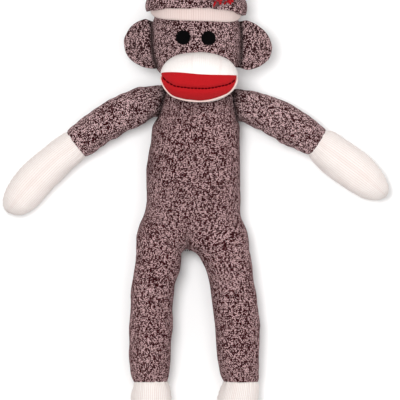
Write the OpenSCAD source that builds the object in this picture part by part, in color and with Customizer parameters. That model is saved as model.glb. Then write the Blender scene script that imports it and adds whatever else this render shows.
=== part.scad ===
/* Stuffed sock monkey lying on its back.
   Frame: millimetres, +Z up out of the belly, +Y towards the head, +X towards the
   right side of the picture (the monkey's own left hand side is called "right" here,
   after the side it lies on when looked at from above), floor at Z = 0. */

/* [Torso] */
// half width of the chest
chest_w = 51; // [40:1:60]
// torso thickness relative to its width
torso_flat = 0.7; // [0.6:0.01:0.9]
// height of the torso axis above the floor
torso_z = 34; // [28:1:38]
// sideways place of the torso axis
torso_x = 1.5; // [-3:0.5:5]
// how far the hip stubs reach down
hip_end = -82; // [-86:1:-78]

/* [Cloth] */
// thickness of the knitted cover
cloth_t = 2.4; // [1.5:0.1:4]
// gap between cover and filling
fill_gap = 0.2; // [0.1:0.05:0.5]
// running gap between two bodies
run_gap = 0.6; // [0.4:0.1:1.5]

/* [Legs] */
// thigh radius
thigh_r = 24; // [20:0.5:24]
// shin radius
shin_r = 23.3; // [19:0.1:23.5]
// ankle radius
ankle_r = 21.5; // [18:0.5:22]
// foot radius at its widest
foot_r = 22.5; // [20:0.5:24]
// length of the cream foot
foot_l = 69; // [60:1:78]

/* [Arms] */
// upper arm radius
arm_r = 19.6; // [16:0.1:19.8]
// elbow radius
elbow_r = 19.6; // [16:0.1:20]
// wrist radius
wrist_r = 17.4; // [14:0.1:18]
// hand radius at its widest
hand_r = 21; // [18:0.5:22]
// length of the cream hand
hand_l = 94; // [80:1:100]

/* [Head] */
// half width of the head
head_w = 49.5; // [44:0.5:52]
// head thickness relative to its width
head_flat = 0.87; // [0.8:0.01:0.95]
// height of the head axis above the floor
head_z = 47.3; // [46:0.1:52]
// sideways place of the head axis
head_x = 4.4; // [0:0.2:8]
// radius of the gathered neck
neck_r = 17; // [14:0.5:19]
// muzzle half width
muz_w = 43; // [36:1:46]
// muzzle half height
muz_h = 28; // [24:1:30]
// muzzle bulge
muz_d = 36; // [28:1:40]
// eye radius
eye_r = 7.3; // [5:0.1:9]
// ear length outwards
ear_l = 25; // [20:0.5:28]
// ear half height
ear_h = 26.6; // [22:0.2:30]
// ear half thickness
ear_t = 4.2; // [3:0.1:4.4]

/* [Hat] */
// radius of the pom-pom
pom_r = 16; // [12:0.5:16.5]
// thickness of the rolled hat band
band_t = 2.4; // [1.6:0.2:4.2]

/* [Tail] */
// tail radius at its root
tail_r = 5.6; // [4:0.1:5.6]
// tail radius at its tip
tail_tip_r = 4.4; // [3:0.1:4.5]

/* [View] */
// which node to draw

/* [Hidden] */
$fn = 72;
neck_p = [head_x, 93, 40];
muz_p = [7.7, 109, 80];
eye_l = [-9.8, 152];
eye_rr = [18.3, 150.5];
pom_h = [27.2, 195.6, 86.5];
pom_p = [32.4, 211, 98.1];

// hinge centres, left side of the picture then right side
hipL = [-40.5, -107, 37];
kneeL = [-44.5, -158, 35.5];
ankL = [-46, -212, 32];
toeL = [-44.5, -297, 23.5];
hipR = [42, -107, 37];
kneeR = [48, -158, 35.5];
ankR = [50.5, -212, 32];
toeR = [49.5, -297, 23.5];

shoL = [-49.5, 78, 33];
swiL = [-78, 67, 31];
elbL = [-101, 54.5, 29];
wriL = [-121, 38.5, 27];
tipL = [-205, -24, 21.5];
shoR = [58.5, 78, 33];
swiR = [85, 67, 31];
elbR = [110, 54.5, 29];
wriR = [131, 39.5, 27];
tipR = [213, -20, 21.5];

tail0 = [-16, -80, 5.8];
tail1 = [-34, -118, 5.8];
tail2 = [-42, -160, 5];
tail3 = [-46, -180, 4.8];

brown = [0.42, 0.33, 0.32];
cream = [0.93, 0.88, 0.84];
red = [0.72, 0.12, 0.14];
white = [0.95, 0.95, 0.93];
dark = [0.1, 0.07, 0.07];

// put local +Z along the line from a to b, local origin at a
module along(a, b) {
  d = b - a;
  translate(a) rotate([0, acos(d[2] / norm(d)), atan2(d[1], d[0])]) children();
}

// a round-backed profile: back radius r0 about the origin, then the points given
function back(r, n = 12) = [for (i = [0:n]) let (a = -90 + 90 * i / n) [r * cos(a), r * sin(a)]];
function rev(v) = [for (i = [len(v) - 1:-1:0]) v[i]];

// cover of a limb piece: closed round back end, open far end
module cover(r0, r1, l) {
  rotate_extrude() polygon(concat(back(r0), [[r1, l]], [[r1 - cloth_t, l]], rev(back(r0 - cloth_t))));
}
module core(r0, r1, l) {
  t = cloth_t + fill_gap;
  rotate_extrude() polygon(concat(back(r0 - t), [[r1 - t, l], [0, l]]));
}

// profile of a cream end: from the seam to the rounded tip
function end_pts(r0, r, l) = [[r0, 0], [r0 + (r - r0) * 0.55, l * 0.2], [r - 0.2, l * 0.42], [r, l * 0.58],
  [r * 0.97, l * 0.72], [r * 0.88, l * 0.83], [r * 0.72, l * 0.915], [r * 0.5, l * 0.968], [r * 0.25, l * 0.994], [0, l]];
module end_cover(r0, r, l) {
  rotate_extrude() polygon(concat(end_pts(r0, r, l), rev(end_pts(r0 - cloth_t, r - cloth_t, l - cloth_t))));
}
module end_core(rb, back_l, r0, r, l) {
  t = cloth_t + fill_gap;
  // the filling runs through the brown end and the cream end
  rotate_extrude() polygon(concat([for (p = back(rb - t)) [p[0], p[1] - back_l]], [[rb - t - 0.25, -back_l * 0.5]],
    end_pts(r0 - t, r - t, l - t)));
}

// torso: a flattened turned body with two hip stubs
function torso_pts(o) = [[0, -79 + o], [24, -78 + o], [40 - o * 0.4, -74.5 + o * 0.9], [50 - o * 0.8, -67 + o * 0.6], [chest_w + 3.5 - o, -54], [chest_w + 2 - o, -36],
  [chest_w + 0.5 - o, -15], [chest_w - o, 10], [chest_w - 0.5 - o, 35], [chest_w - 3 - o, 56], [chest_w - 7.5 - o * 0.95, 68], [37 - o * 0.8, 77.5 - o * 0.5],
  [28 - o * 0.4, 83.5 - o * 0.8], [16, 87 - o], [0, 88 - o]];
module torso_body(o) {
  intersection() {
    union() {
      translate([torso_x, 0, torso_z]) scale([1, 1, torso_flat]) rotate([-90, 0, 0]) rotate_extrude() polygon(torso_pts(o));
      for (h = [hipL, hipR]) translate([h[0], -52 - o * 0.5, h[2] - 1]) rotate([90, 0, h[0] < 0 ? -4 : 4]) cylinder(h = 60, r1 = 22 - o, r2 = thigh_r - o);
    }
    translate([-100, hip_end, o]) cube([200, 200, 120]);
  }
}

module torso_cover() {
  color(brown) difference() {
    torso_body(0);
    difference() {
      torso_body(cloth_t);
    }
    for (h = [hipL, hipR]) translate([h[0] + (h[0] < 0 ? -2 : 2), hip_end + 8, h[2] - 1]) rotate([90, 0, 0]) cylinder(h = 12, r = thigh_r - 4.5);
    translate(neck_p) sphere(r = neck_r + run_gap);
  }
}
module torso_stuffing() {
  color(white) difference() {
    torso_body(cloth_t + fill_gap);
    translate([-100, hip_end - 6, 0]) cube([200, 10, 100]);
    translate(neck_p) sphere(r = neck_r + run_gap);
  }
}
// short hand-sewn stitches that close the stuffing hole at the seat
module back_seam_stitches() {
  color(dark) for (i = [-3:3]) translate([torso_x + i * 6, -83.4 + abs(i) * 0.25, 34]) rotate([0, 0, 0]) scale([0.5, 0.45, 1]) sphere(r = 2.2);
}

module neck_stuffing() {
  color(white) difference() {
    translate(neck_p) sphere(r = neck_r);
    translate(neck_p) rotate([-90, 0, 0]) rotate_extrude() translate([neck_r, 0]) circle(r = 1.8);
  }
}
module neck_gathering_thread() {
  color(dark) translate(neck_p) rotate([-90, 0, 0]) rotate_extrude() translate([neck_r - 1.2, 0]) circle(r = 0.55);
}

// head: a flattened turned body about a line along Y
function head_pts(o) = [[0, 97 + o], [14, 97.6 + o], [26 - o * 0.3, 100 + o], [36 - o * 0.6, 104 + o * 0.8], [43.5 - o * 0.85, 110 + o * 0.5], [head_w - 1.5 - o, 119], [head_w - o, 130],
  [head_w - o, 160], [head_w - 1.5 - o, 171], [head_w - 5.5 - o * 0.9, 180], [35 - o * 0.7, 187.5 - o * 0.6], [22 - o * 0.4, 192 - o * 0.9], [10, 194 - o], [0, 194.4 - o]];
module head_turned(pts) {
  translate([head_x, 0, head_z]) scale([1, 1, head_flat]) rotate([-90, 0, 0]) rotate_extrude() polygon([for (p = pts) [p[0], p[1]]]);
}
module head_body(o) { head_turned(head_pts(o)); }
module head_cover() {
  color(brown) difference() {
    head_body(0);
    head_body(cloth_t);
    translate(neck_p) sphere(r = neck_r + run_gap);
  }
}
module head_stuffing() {
  color(white) difference() {
    head_body(cloth_t + fill_gap);
    translate(neck_p) sphere(r = neck_r + run_gap);
  }
}

module muz_body(o) { translate(muz_p) scale([muz_w - o, muz_h - o, muz_d - o]) sphere(r = 1); }
module muz_region() { translate([-60, 60, 72]) cube([140, 100, 80]); }
module muzzle_cover() {
  color(cream) intersection() {
    difference() { muz_body(0); muz_body(cloth_t); head_body(-0.5); }
    muz_region();
  }
}
module muzzle_stuffing() {
  color(white) intersection() {
    difference() { muz_body(cloth_t + fill_gap); head_body(-0.5); }
    muz_region();
  }
}
// the red patch, cut where it meets the cream, with the line of stitches left out
module lips() {
  color(red) intersection() {
    difference() { muz_body(-1.2); muz_body(-0.1); }
    translate([muz_p[0], muz_p[1] + 3.5, 84]) scale([muz_w - 2.5, muz_h + 0.5, 1]) cylinder(h = 60, r = 1);
    translate([-60, 70, 84]) cube([140, 42, 60]);
  }
}
module mouth_stitches() {
  color(dark) intersection() {
    difference() { muz_body(-2.2); muz_body(-1.3); }
    for (i = [-6:6]) translate([muz_p[0] + i * 5.4, 94.6 + i * i * 0.19, 100]) rotate([0, 0, i * 4]) translate([-1.9, -0.8, -20]) cube([3.8, 1.6, 60]);
  }
}
module eye(p) {
  color(dark) intersection() {
    difference() { head_body(-1.7); head_body(-0.1); }
    translate([p[0], p[1], 60]) cylinder(h = 50, r = eye_r);
  }
}
module left_eye() { eye(eye_l); }
module right_eye() { eye(eye_rr); }

module ear(s) {
  color(brown) translate([head_x + s * (head_w + ear_t + 0.7), 145, head_z]) intersection() {
    scale([ear_l, ear_h, ear_t]) sphere(r = 1);
    translate([s > 0 ? 0 : -60, -40, -20]) cube([60, 80, 40]);
  }
}
module left_ear() { ear(-1); }
module right_ear() { ear(1); }

module hat_band() {
  color(cream) intersection() {
    head_turned([[head_w + 0.2, 168], [head_w + band_t, 170], [head_w + band_t, 180], [head_w + 1.5, 183], [head_w - 4.8, 183], [head_w - 0.8, 171], [head_w + 0.05, 168.3]]);
    translate([-80, 150, 0]) cube([170, 60, 120]);
  }
}
module hat_crown() {
  color(brown) intersection() {
    head_turned([[head_w - 4, 183.5], [head_w + 4.2, 183.5], [head_w + 4.6, 188], [head_w + 1.5, 194], [head_w - 6, 199.5], [34, 203], [18, 205], [0, 205.5],
      [0, 195.2], [12, 194.8], [24, 192.6], [36.5, 188]]);
    translate([-80, 150, 0]) cube([170, 80, 120]);
  }
}
module pom_pom() {
  color(red) difference() {
    translate(pom_p) sphere(r = pom_r);
    along(pom_h, pom_p) cylinder(h = 14, r = 2.1);
  }
}
module pom_pom_tie() {
  color(cream) along(pom_h, pom_p) translate([0, 0, 1.8]) cylinder(h = 12, r = 1.8);
}

// arm: a flat sewn root that widens to the full round arm
module shoulder_shape(a, b, o) {
  s = a[0] < 0 ? -1 : 1;
  intersection() {
    union() {
      // sewn edge
      translate(a) rotate([90, 0, 0]) translate([0, 0, -13]) cylinder(h = 26, r = 4.2 - o * 0.6);
      // swelling towards the round arm, from a flat oval
      translate(a) rotate([0, 0, s > 0 ? -11 : 11]) rotate([0, s * 90, 0]) scale([0.62, 1, 1]) translate([0, 0, -1])
        cylinder(h = 15, r1 = 13 - o, r2 = 18.4 - o);
    }
    translate([s > 0 ? a[0] - 4.2 + o : -120, 0, 0]) cube([120 + (s > 0 ? 0 : a[0] + 4.2 - o), 120, 90]);
    translate(b) difference() { cube([200, 200, 200], center = true); sphere(r = arm_r + run_gap + o * 0.0); }
  }
}
module shoulder(a, b) {
  color(brown) difference() { shoulder_shape(a, b, 0); 
    shoulder_inner(a, cloth_t); }
}
module shoulder_inner(a, o) {
  s = a[0] < 0 ? -1 : 1;
  translate(a) rotate([0, 0, s > 0 ? -11 : 11]) rotate([0, s * 90, 0]) scale([0.62, 1, 1]) translate([0, 0, 1])
    cylinder(h = 18, r1 = 10.5 - o * 0.5, r2 = 17 - o);
}
module shoulder_core(a, b) {
  color(white) difference() { shoulder_inner(a, cloth_t + fill_gap); translate(b) sphere(r = arm_r + run_gap); }
}
module limb(a, b, r0, r1, next_r) {
  l = norm(b - a) - next_r - run_gap;
  color(brown) along(a, b) cover(r0, r1, l);
}
module limb_core(a, b, r0, r1, next_r) {
  l = norm(b - a) - next_r - run_gap;
  color(white) along(a, b) core(r0, r1, l);
}
module hand_brown(a, b, r, bl) { color(brown) along(a, b) cover(r, r - 0.5, bl); }
module hand_cream(a, b, rb, bl, r, l) { color(cream) along(a, b) translate([0, 0, bl + 0.05]) end_cover(rb - 0.5, r, l); }
module hand_core(a, b, rb, bl, r, l) { color(white) along(a, b) translate([0, 0, bl + 0.05]) end_core(rb, bl + 0.05, rb - 0.5, r, l); }

module left_shoulder() { shoulder(shoL, swiL); }
module left_shoulder_stuffing() { shoulder_core(shoL, swiL); }
module left_upper_arm() { limb(swiL, elbL, arm_r, elbow_r, elbow_r); }
module left_upper_arm_stuffing() { limb_core(swiL, elbL, arm_r, elbow_r, elbow_r); }
module left_forearm() { limb(elbL, wriL, elbow_r, elbow_r - 0.8, wrist_r); }
module left_forearm_stuffing() { limb_core(elbL, wriL, elbow_r, elbow_r - 0.8, wrist_r); }
module left_wrist() { hand_brown(wriL, tipL, wrist_r, 9); }
module left_hand() { hand_cream(wriL, tipL, wrist_r, 9, hand_r, hand_l); }
module left_hand_stuffing() { hand_core(wriL, tipL, wrist_r, 9, hand_r, hand_l); }

module right_shoulder() { shoulder(shoR, swiR); }
module right_shoulder_stuffing() { shoulder_core(shoR, swiR); }
module right_upper_arm() { limb(swiR, elbR, arm_r, elbow_r, elbow_r); }
module right_upper_arm_stuffing() { limb_core(swiR, elbR, arm_r, elbow_r, elbow_r); }
module right_forearm() { limb(elbR, wriR, elbow_r, elbow_r - 0.8, wrist_r); }
module right_forearm_stuffing() { limb_core(elbR, wriR, elbow_r, elbow_r - 0.8, wrist_r); }
module right_wrist() { hand_brown(wriR, tipR, wrist_r, 9); }
module right_hand() { hand_cream(wriR, tipR, wrist_r, 9, hand_r, hand_l - 2); }
module right_hand_stuffing() { hand_core(wriR, tipR, wrist_r, 9, hand_r, hand_l - 2); }

module left_thigh() { limb(hipL, kneeL, thigh_r, shin_r, shin_r); }
module left_thigh_stuffing() { limb_core(hipL, kneeL, thigh_r, shin_r, shin_r); }
module left_shin() { limb(kneeL, ankL, shin_r, ankle_r + 0.6, ankle_r); }
module left_shin_stuffing() { limb_core(kneeL, ankL, shin_r, ankle_r + 0.6, ankle_r); }
module left_ankle() { hand_brown(ankL, toeL, ankle_r, 16); }
module left_foot() { hand_cream(ankL, toeL, ankle_r, 16, foot_r, foot_l); }
module left_foot_stuffing() { hand_core(ankL, toeL, ankle_r, 16, foot_r, foot_l); }

module right_thigh() { limb(hipR, kneeR, thigh_r, shin_r, shin_r); }
module right_thigh_stuffing() { limb_core(hipR, kneeR, thigh_r, shin_r, shin_r); }
module right_shin() { limb(kneeR, ankR, shin_r, ankle_r + 0.6, ankle_r); }
module right_shin_stuffing() { limb_core(kneeR, ankR, shin_r, ankle_r + 0.6, ankle_r); }
module right_ankle() { hand_brown(ankR, toeR, ankle_r, 16); }
module right_foot() { hand_cream(ankR, toeR, ankle_r, 16, foot_r, foot_l); }
module right_foot_stuffing() { hand_core(ankR, toeR, ankle_r, 16, foot_r, foot_l); }

// tail: stuffed all the way, too thin to hold a separate core
module tail_base() {
  l = norm(tail1 - tail0) - 5.2 - run_gap;
  color(brown) along(tail0, tail1) rotate_extrude() polygon(concat(back(tail_r), [[5.3, l], [0, l]]));
}
module tail_end() {
  l = norm(tail2 - tail1);
  color(brown) along(tail1, tail2) rotate_extrude() polygon(concat(back(5.2), [[4.8, l], [0, l]]));
}
module tail_tip() {
  color(cream) along(tail2, tail3) translate([0, 0, 0.4]) rotate_extrude() polygon([[0, 0], [4.7, 0], [4.5, 8], [4.1, 14], [3.2, 18], [1.8, 20.4], [0, 21]]);
}

torso_cover();
torso_stuffing();
back_seam_stitches();
neck_stuffing();
neck_gathering_thread();
head_cover();
head_stuffing();
muzzle_cover();
muzzle_stuffing();
lips();
mouth_stitches();
left_eye();
right_eye();
left_ear();
right_ear();
hat_band();
hat_crown();
pom_pom();
pom_pom_tie();
left_shoulder();
left_shoulder_stuffing();
left_upper_arm();
left_upper_arm_stuffing();
left_forearm();
left_forearm_stuffing();
left_wrist();
left_hand();
left_hand_stuffing();
right_shoulder();
right_shoulder_stuffing();
right_upper_arm();
right_upper_arm_stuffing();
right_forearm();
right_forearm_stuffing();
right_wrist();
right_hand();
right_hand_stuffing();
left_thigh();
left_thigh_stuffing();
left_shin();
left_shin_stuffing();
left_ankle();
left_foot();
left_foot_stuffing();
right_thigh();
right_thigh_stuffing();
right_shin();
right_shin_stuffing();
right_ankle();
right_foot();
right_foot_stuffing();
tail_base();
tail_end();
tail_tip();
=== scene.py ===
import bpy
import bmesh
import math
import numpy as np
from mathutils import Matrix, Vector


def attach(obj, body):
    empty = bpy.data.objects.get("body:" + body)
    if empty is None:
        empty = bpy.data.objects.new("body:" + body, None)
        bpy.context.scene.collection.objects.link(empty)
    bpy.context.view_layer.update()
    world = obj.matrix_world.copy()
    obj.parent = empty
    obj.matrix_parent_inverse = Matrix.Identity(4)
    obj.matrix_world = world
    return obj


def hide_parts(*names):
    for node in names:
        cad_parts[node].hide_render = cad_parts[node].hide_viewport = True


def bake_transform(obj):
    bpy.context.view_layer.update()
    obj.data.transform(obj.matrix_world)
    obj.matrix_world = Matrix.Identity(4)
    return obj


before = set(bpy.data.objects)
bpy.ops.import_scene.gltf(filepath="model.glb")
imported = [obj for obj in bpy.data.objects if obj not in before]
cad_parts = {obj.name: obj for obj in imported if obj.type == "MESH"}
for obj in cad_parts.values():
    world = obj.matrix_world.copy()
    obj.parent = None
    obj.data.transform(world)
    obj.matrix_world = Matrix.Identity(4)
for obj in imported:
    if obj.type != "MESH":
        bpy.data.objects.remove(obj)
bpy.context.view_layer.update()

MM = 0.001
scene = bpy.context.scene

# ------------------------------------------------------------------ camera
cam_data = bpy.data.cameras.new("camera")
cam_data.sensor_width = 36.0
cam_data.lens = 36.0 * 7.965 / 0.440
cam_data.clip_end = 20.0
cam = bpy.data.objects.new("camera", cam_data)
scene.collection.objects.link(cam)
cam.location = (0.0088, -0.0275, 8.0)
cam.rotation_euler = (0, 0, 0)
scene.camera = cam

# ------------------------------------------------------------------ small tools
rng = np.random.default_rng(7)


def ss(a, b, x):
    """smooth step from a to b"""
    t = np.clip((np.asarray(x, float) - a) / (b - a), 0, 1)
    return t * t * (3 - 2 * t)


def _hash(i, j, k, seed):
    h = (i * 374761393 + j * 668265263 + k * 2147483647 + seed * 974634777) & 0xFFFFFFFF
    h = ((h ^ (h >> 13)) * 1274126177) & 0xFFFFFFFF
    h = (h ^ (h >> 16)) & 0xFFFFFF
    return h / float(0xFFFFFF) * 2 - 1


def noise(p, size, seed=0):
    """smooth noise from -1 to 1 of points p (..., 3), in mm, with that feature size"""
    q = np.asarray(p, float) / size + 100.0
    i = np.floor(q).astype(np.int64)
    f = q - i
    f = f * f * f * (f * (f * 6 - 15) + 10)
    out = 0.0
    for a in (0, 1):
        for b in (0, 1):
            for c in (0, 1):
                w = (f[..., 0] if a else 1 - f[..., 0]) * (f[..., 1] if b else 1 - f[..., 1]) * (f[..., 2] if c else 1 - f[..., 2])
                out = out + w * _hash(i[..., 0] + a, i[..., 1] + b, i[..., 2] + c, seed)
    return out


def curve(xs, ys, x):
    """smooth curve through the points given (monotone cubic)"""
    xs, ys, x = np.asarray(xs, float), np.asarray(ys, float), np.asarray(x, float)
    if xs[0] > xs[-1]:
        xs, ys = xs[::-1], ys[::-1]
    h = np.diff(xs)
    d = np.diff(ys) / h
    m = np.zeros_like(ys)
    m[1:-1] = np.where(d[1:] * d[:-1] > 0, 2 * d[1:] * d[:-1] / np.where(np.abs(d[1:] + d[:-1]) < 1e-12, 1, d[1:] + d[:-1]), 0)
    m[0], m[-1] = d[0], d[-1]
    x = np.clip(x, xs[0], xs[-1])
    k = np.clip(np.searchsorted(xs, x) - 1, 0, len(xs) - 2)
    t = (x - xs[k]) / h[k]
    return (2 * t**3 - 3 * t**2 + 1) * ys[k] + (t**3 - 2 * t**2 + t) * h[k] * m[k] + (-2 * t**3 + 3 * t**2) * ys[k + 1] + (t**3 - t**2) * h[k] * m[k + 1]


def unit(v):
    return v / np.maximum(np.linalg.norm(v, axis=-1, keepdims=True), 1e-12)


def grid_normals(P, wrap):
    """normals of a grid of points P (rows, columns, 3)"""
    dv = np.gradient(P, axis=0)
    if wrap:
        du = (np.roll(P, -1, axis=1) - np.roll(P, 1, axis=1)) / 2
    else:
        du = np.gradient(P, axis=1)
    n = np.cross(du, dv)
    return unit(n)


def make_mesh(name, verts, faces, uvs=None, normals=None, mat=None, extra=None):
    """a mesh object from points in mm; uvs is one pair for each corner of each face, in order"""
    me = bpy.data.meshes.new(name)
    me.from_pydata((np.asarray(verts) * MM).tolist(), [], faces)
    me.validate(clean_customdata=False)
    me.polygons.foreach_set("use_smooth", [True] * len(me.polygons))
    if uvs is not None:
        layer = me.uv_layers.new(name="UVMap")
        layer.data.foreach_set("uv", np.asarray(uvs, np.float32).ravel())
    if extra:
        for key, val in extra.items():
            at = me.attributes.new(key, "FLOAT", "POINT")
            at.data.foreach_set("value", np.asarray(val, np.float32).ravel())
    me.update()
    if normals is not None:
        me.normals_split_custom_set_from_vertices(np.asarray(normals).tolist())
    ob = bpy.data.objects.new(name, me)
    scene.collection.objects.link(ob)
    if mat is not None:
        me.materials.append(mat)
    return ob


def grid_piece(name, P, UV, wrap=False, mat=None, normals=None, cap0=False, cap1=False, extra=None, out=None):
    """a mesh from a grid P (rows, cols, 3). UV is (rows, cols or cols + 1 if it wraps, 2). out is a direction the faces look in, for a sheet."""
    nr, nc = P.shape[:2]
    verts = P.reshape(-1, 3)
    jmax = nc if wrap else nc - 1
    # which way round the faces go so that they look outwards
    gn = grid_normals(P, wrap)
    ref = np.broadcast_to(np.asarray(out, float), P.shape) if out is not None else P - P.mean(axis=1, keepdims=True)
    flip = (gn * ref).sum() < 0
    i, j = np.meshgrid(np.arange(nr - 1), np.arange(jmax), indexing="ij")
    i, j = i.ravel(), j.ravel()
    jn = (j + 1) % nc
    quads = np.stack([i * nc + j, i * nc + jn, (i + 1) * nc + jn, (i + 1) * nc + j], 1)
    cor = np.stack([np.stack([i, j], 1), np.stack([i, j + 1], 1), np.stack([i + 1, j + 1], 1), np.stack([i + 1, j], 1)], 1)
    if flip:
        quads, cor = quads[:, ::-1], cor[:, ::-1]
    uvs = UV[cor[..., 0], cor[..., 1]]
    faces = quads.tolist()
    uvl = uvs.reshape(-1, 2).tolist()
    if normals is not None:
        normals = normals.reshape(-1, 3)
    for cap, row in ((cap0, 0), (cap1, nr - 1)):
        if cap:
            verts = np.vstack([verts, P[row].mean(0)])
            c = len(verts) - 1
            for jj in range(jmax):
                a, b = row * nc + jj, row * nc + (jj + 1) % nc
                tri = [a, b, c] if (row == nr - 1) != flip else [b, a, c]
                faces.append(tri)
                ca, cb = UV[row, jj], UV[row, jj + 1 if wrap else min(jj + 1, nc - 1)]
                mid = (ca + cb) / 2
                uvl += [ca.tolist(), cb.tolist(), mid.tolist()] if tri[0] == a else [cb.tolist(), ca.tolist(), mid.tolist()]
            if normals is not None:
                normals = np.vstack([normals, unit(P[row].mean(0) - P[row - 1 if row else 1].mean(0))])
            if extra:
                extra = {k: np.append(np.ravel(v), np.ravel(v)[row * nc:(row + 1) * nc].mean()) for k, v in extra.items()}
    return make_mesh(name, verts, faces, uvl, normals, mat, extra)


def fix_normals(ob):
    bm = bmesh.new()
    bm.from_mesh(ob.data)
    bmesh.ops.recalc_face_normals(bm, faces=bm.faces)
    bm.to_mesh(ob.data)
    bm.free()


# ------------------------------------------------------------------ materials
class Nodes:
    """a short way to write node trees"""

    def __init__(self, name):
        self.mat = bpy.data.materials.new(name)
        self.mat.use_nodes = True
        self.t = self.mat.node_tree
        self.t.nodes.clear()
        self.out = self.t.nodes.new("ShaderNodeOutputMaterial")
        self.bsdf = self.t.nodes.new("ShaderNodeBsdfPrincipled")
        self.t.links.new(self.bsdf.outputs[0], self.out.inputs[0])

    def put(self, sock, v):
        if isinstance(v, (int, float)):
            sock.default_value = v
        elif isinstance(v, (tuple, list)):
            sock.default_value = v
        else:
            self.t.links.new(v, sock)

    def m(self, op, a, b=None, c=None, clamp=False):
        n = self.t.nodes.new("ShaderNodeMath")
        n.operation = op
        n.use_clamp = clamp
        self.put(n.inputs[0], a)
        if b is not None:
            self.put(n.inputs[1], b)
        if c is not None:
            self.put(n.inputs[2], c)
        return n.outputs[0]

    def add(self, a, b):
        return self.m("ADD", a, b)

    def sub(self, a, b):
        return self.m("SUBTRACT", a, b)

    def mul(self, a, b):
        return self.m("MULTIPLY", a, b)

    def step(self, a, b, x):
        n = self.t.nodes.new("ShaderNodeMapRange")
        n.interpolation_type = "SMOOTHSTEP"
        self.put(n.inputs["Value"], x)
        n.inputs["From Min"].default_value = a
        n.inputs["From Max"].default_value = b
        return n.outputs[0]

    def uv(self):
        n = self.t.nodes.new("ShaderNodeUVMap")
        n.uv_map = "UVMap"
        s = self.t.nodes.new("ShaderNodeSeparateXYZ")
        self.t.links.new(n.outputs[0], s.inputs[0])
        return s.outputs[0], s.outputs[1], n.outputs[0]

    def vec(self, x, y, z=0.0):
        n = self.t.nodes.new("ShaderNodeCombineXYZ")
        self.put(n.inputs[0], x)
        self.put(n.inputs[1], y)
        self.put(n.inputs[2], z)
        return n.outputs[0]

    def white(self, vec):
        n = self.t.nodes.new("ShaderNodeTexWhiteNoise")
        n.noise_dimensions = "3D"
        self.t.links.new(vec, n.inputs["Vector"])
        return n.outputs["Value"]

    def noise(self, vec, scale, detail=2.0, rough=0.5):
        n = self.t.nodes.new("ShaderNodeTexNoise")
        n.noise_dimensions = "3D"
        self.t.links.new(vec, n.inputs["Vector"])
        n.inputs["Scale"].default_value = scale
        n.inputs["Detail"].default_value = detail
        n.inputs["Roughness"].default_value = rough
        return n.outputs[0]

    def mix(self, f, a, b):
        n = self.t.nodes.new("ShaderNodeMix")
        n.data_type = "RGBA"
        self.put(n.inputs[0], f)
        self.put(n.inputs[6], a)
        self.put(n.inputs[7], b)
        return n.outputs[2]

    def shade(self, f, col):
        n = self.t.nodes.new("ShaderNodeVectorMath")
        n.operation = "SCALE"
        self.t.links.new(col, n.inputs[0])
        self.put(n.inputs["Scale"], f)
        return n.outputs[0]

    def attr(self, name):
        n = self.t.nodes.new("ShaderNodeAttribute")
        n.attribute_name = name
        return n.outputs["Fac"]

    def bump(self, h, dist, strength=1.0, normal=None):
        n = self.t.nodes.new("ShaderNodeBump")
        n.inputs["Distance"].default_value = dist
        n.inputs["Strength"].default_value = strength
        self.t.links.new(h, n.inputs["Height"])
        if normal is not None:
            self.t.links.new(normal, n.inputs["Normal"])
        return n.outputs[0]

    def finish(self, color, rough=0.9, normal=None, sheen=0.0, sheen_rough=0.5, sheen_tint=(1, 1, 1, 1), spec=0.25):
        b = self.bsdf
        self.put(b.inputs["Base Color"], color)
        self.put(b.inputs["Roughness"], rough)
        b.inputs["Specular IOR Level"].default_value = spec
        b.inputs["Sheen Weight"].default_value = sheen
        b.inputs["Sheen Roughness"].default_value = sheen_rough
        b.inputs["Sheen Tint"].default_value = sheen_tint
        if normal is not None:
            self.t.links.new(normal, b.inputs["Normal"])
        return self.mat


def srgb(r, g, b):
    f = lambda c: ((c / 255 + 0.055) / 1.055) ** 2.4 if c > 10 else c / 255 / 12.92
    return (f(r), f(g), f(b), 1.0)


def stitch_cells(n, slope=0.62):
    """the V stitches of plain knitting: U counts ribs and V counts rows"""
    U, V, uvv = n.uv()
    xi = n.m("FLOOR", U)
    x = n.m("FRACT", U)
    xm = n.mul(n.m("ABSOLUTE", n.sub(x, 0.5)), 2.0)
    side = n.m("GREATER_THAN", x, 0.5)
    yy = n.sub(V, n.mul(xm, slope))
    yi = n.m("FLOOR", yy)
    y = n.m("FRACT", yy)
    half = n.add(n.mul(xi, 2.0), side)
    return U, V, uvv, xi, x, xm, side, yi, y, half


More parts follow.
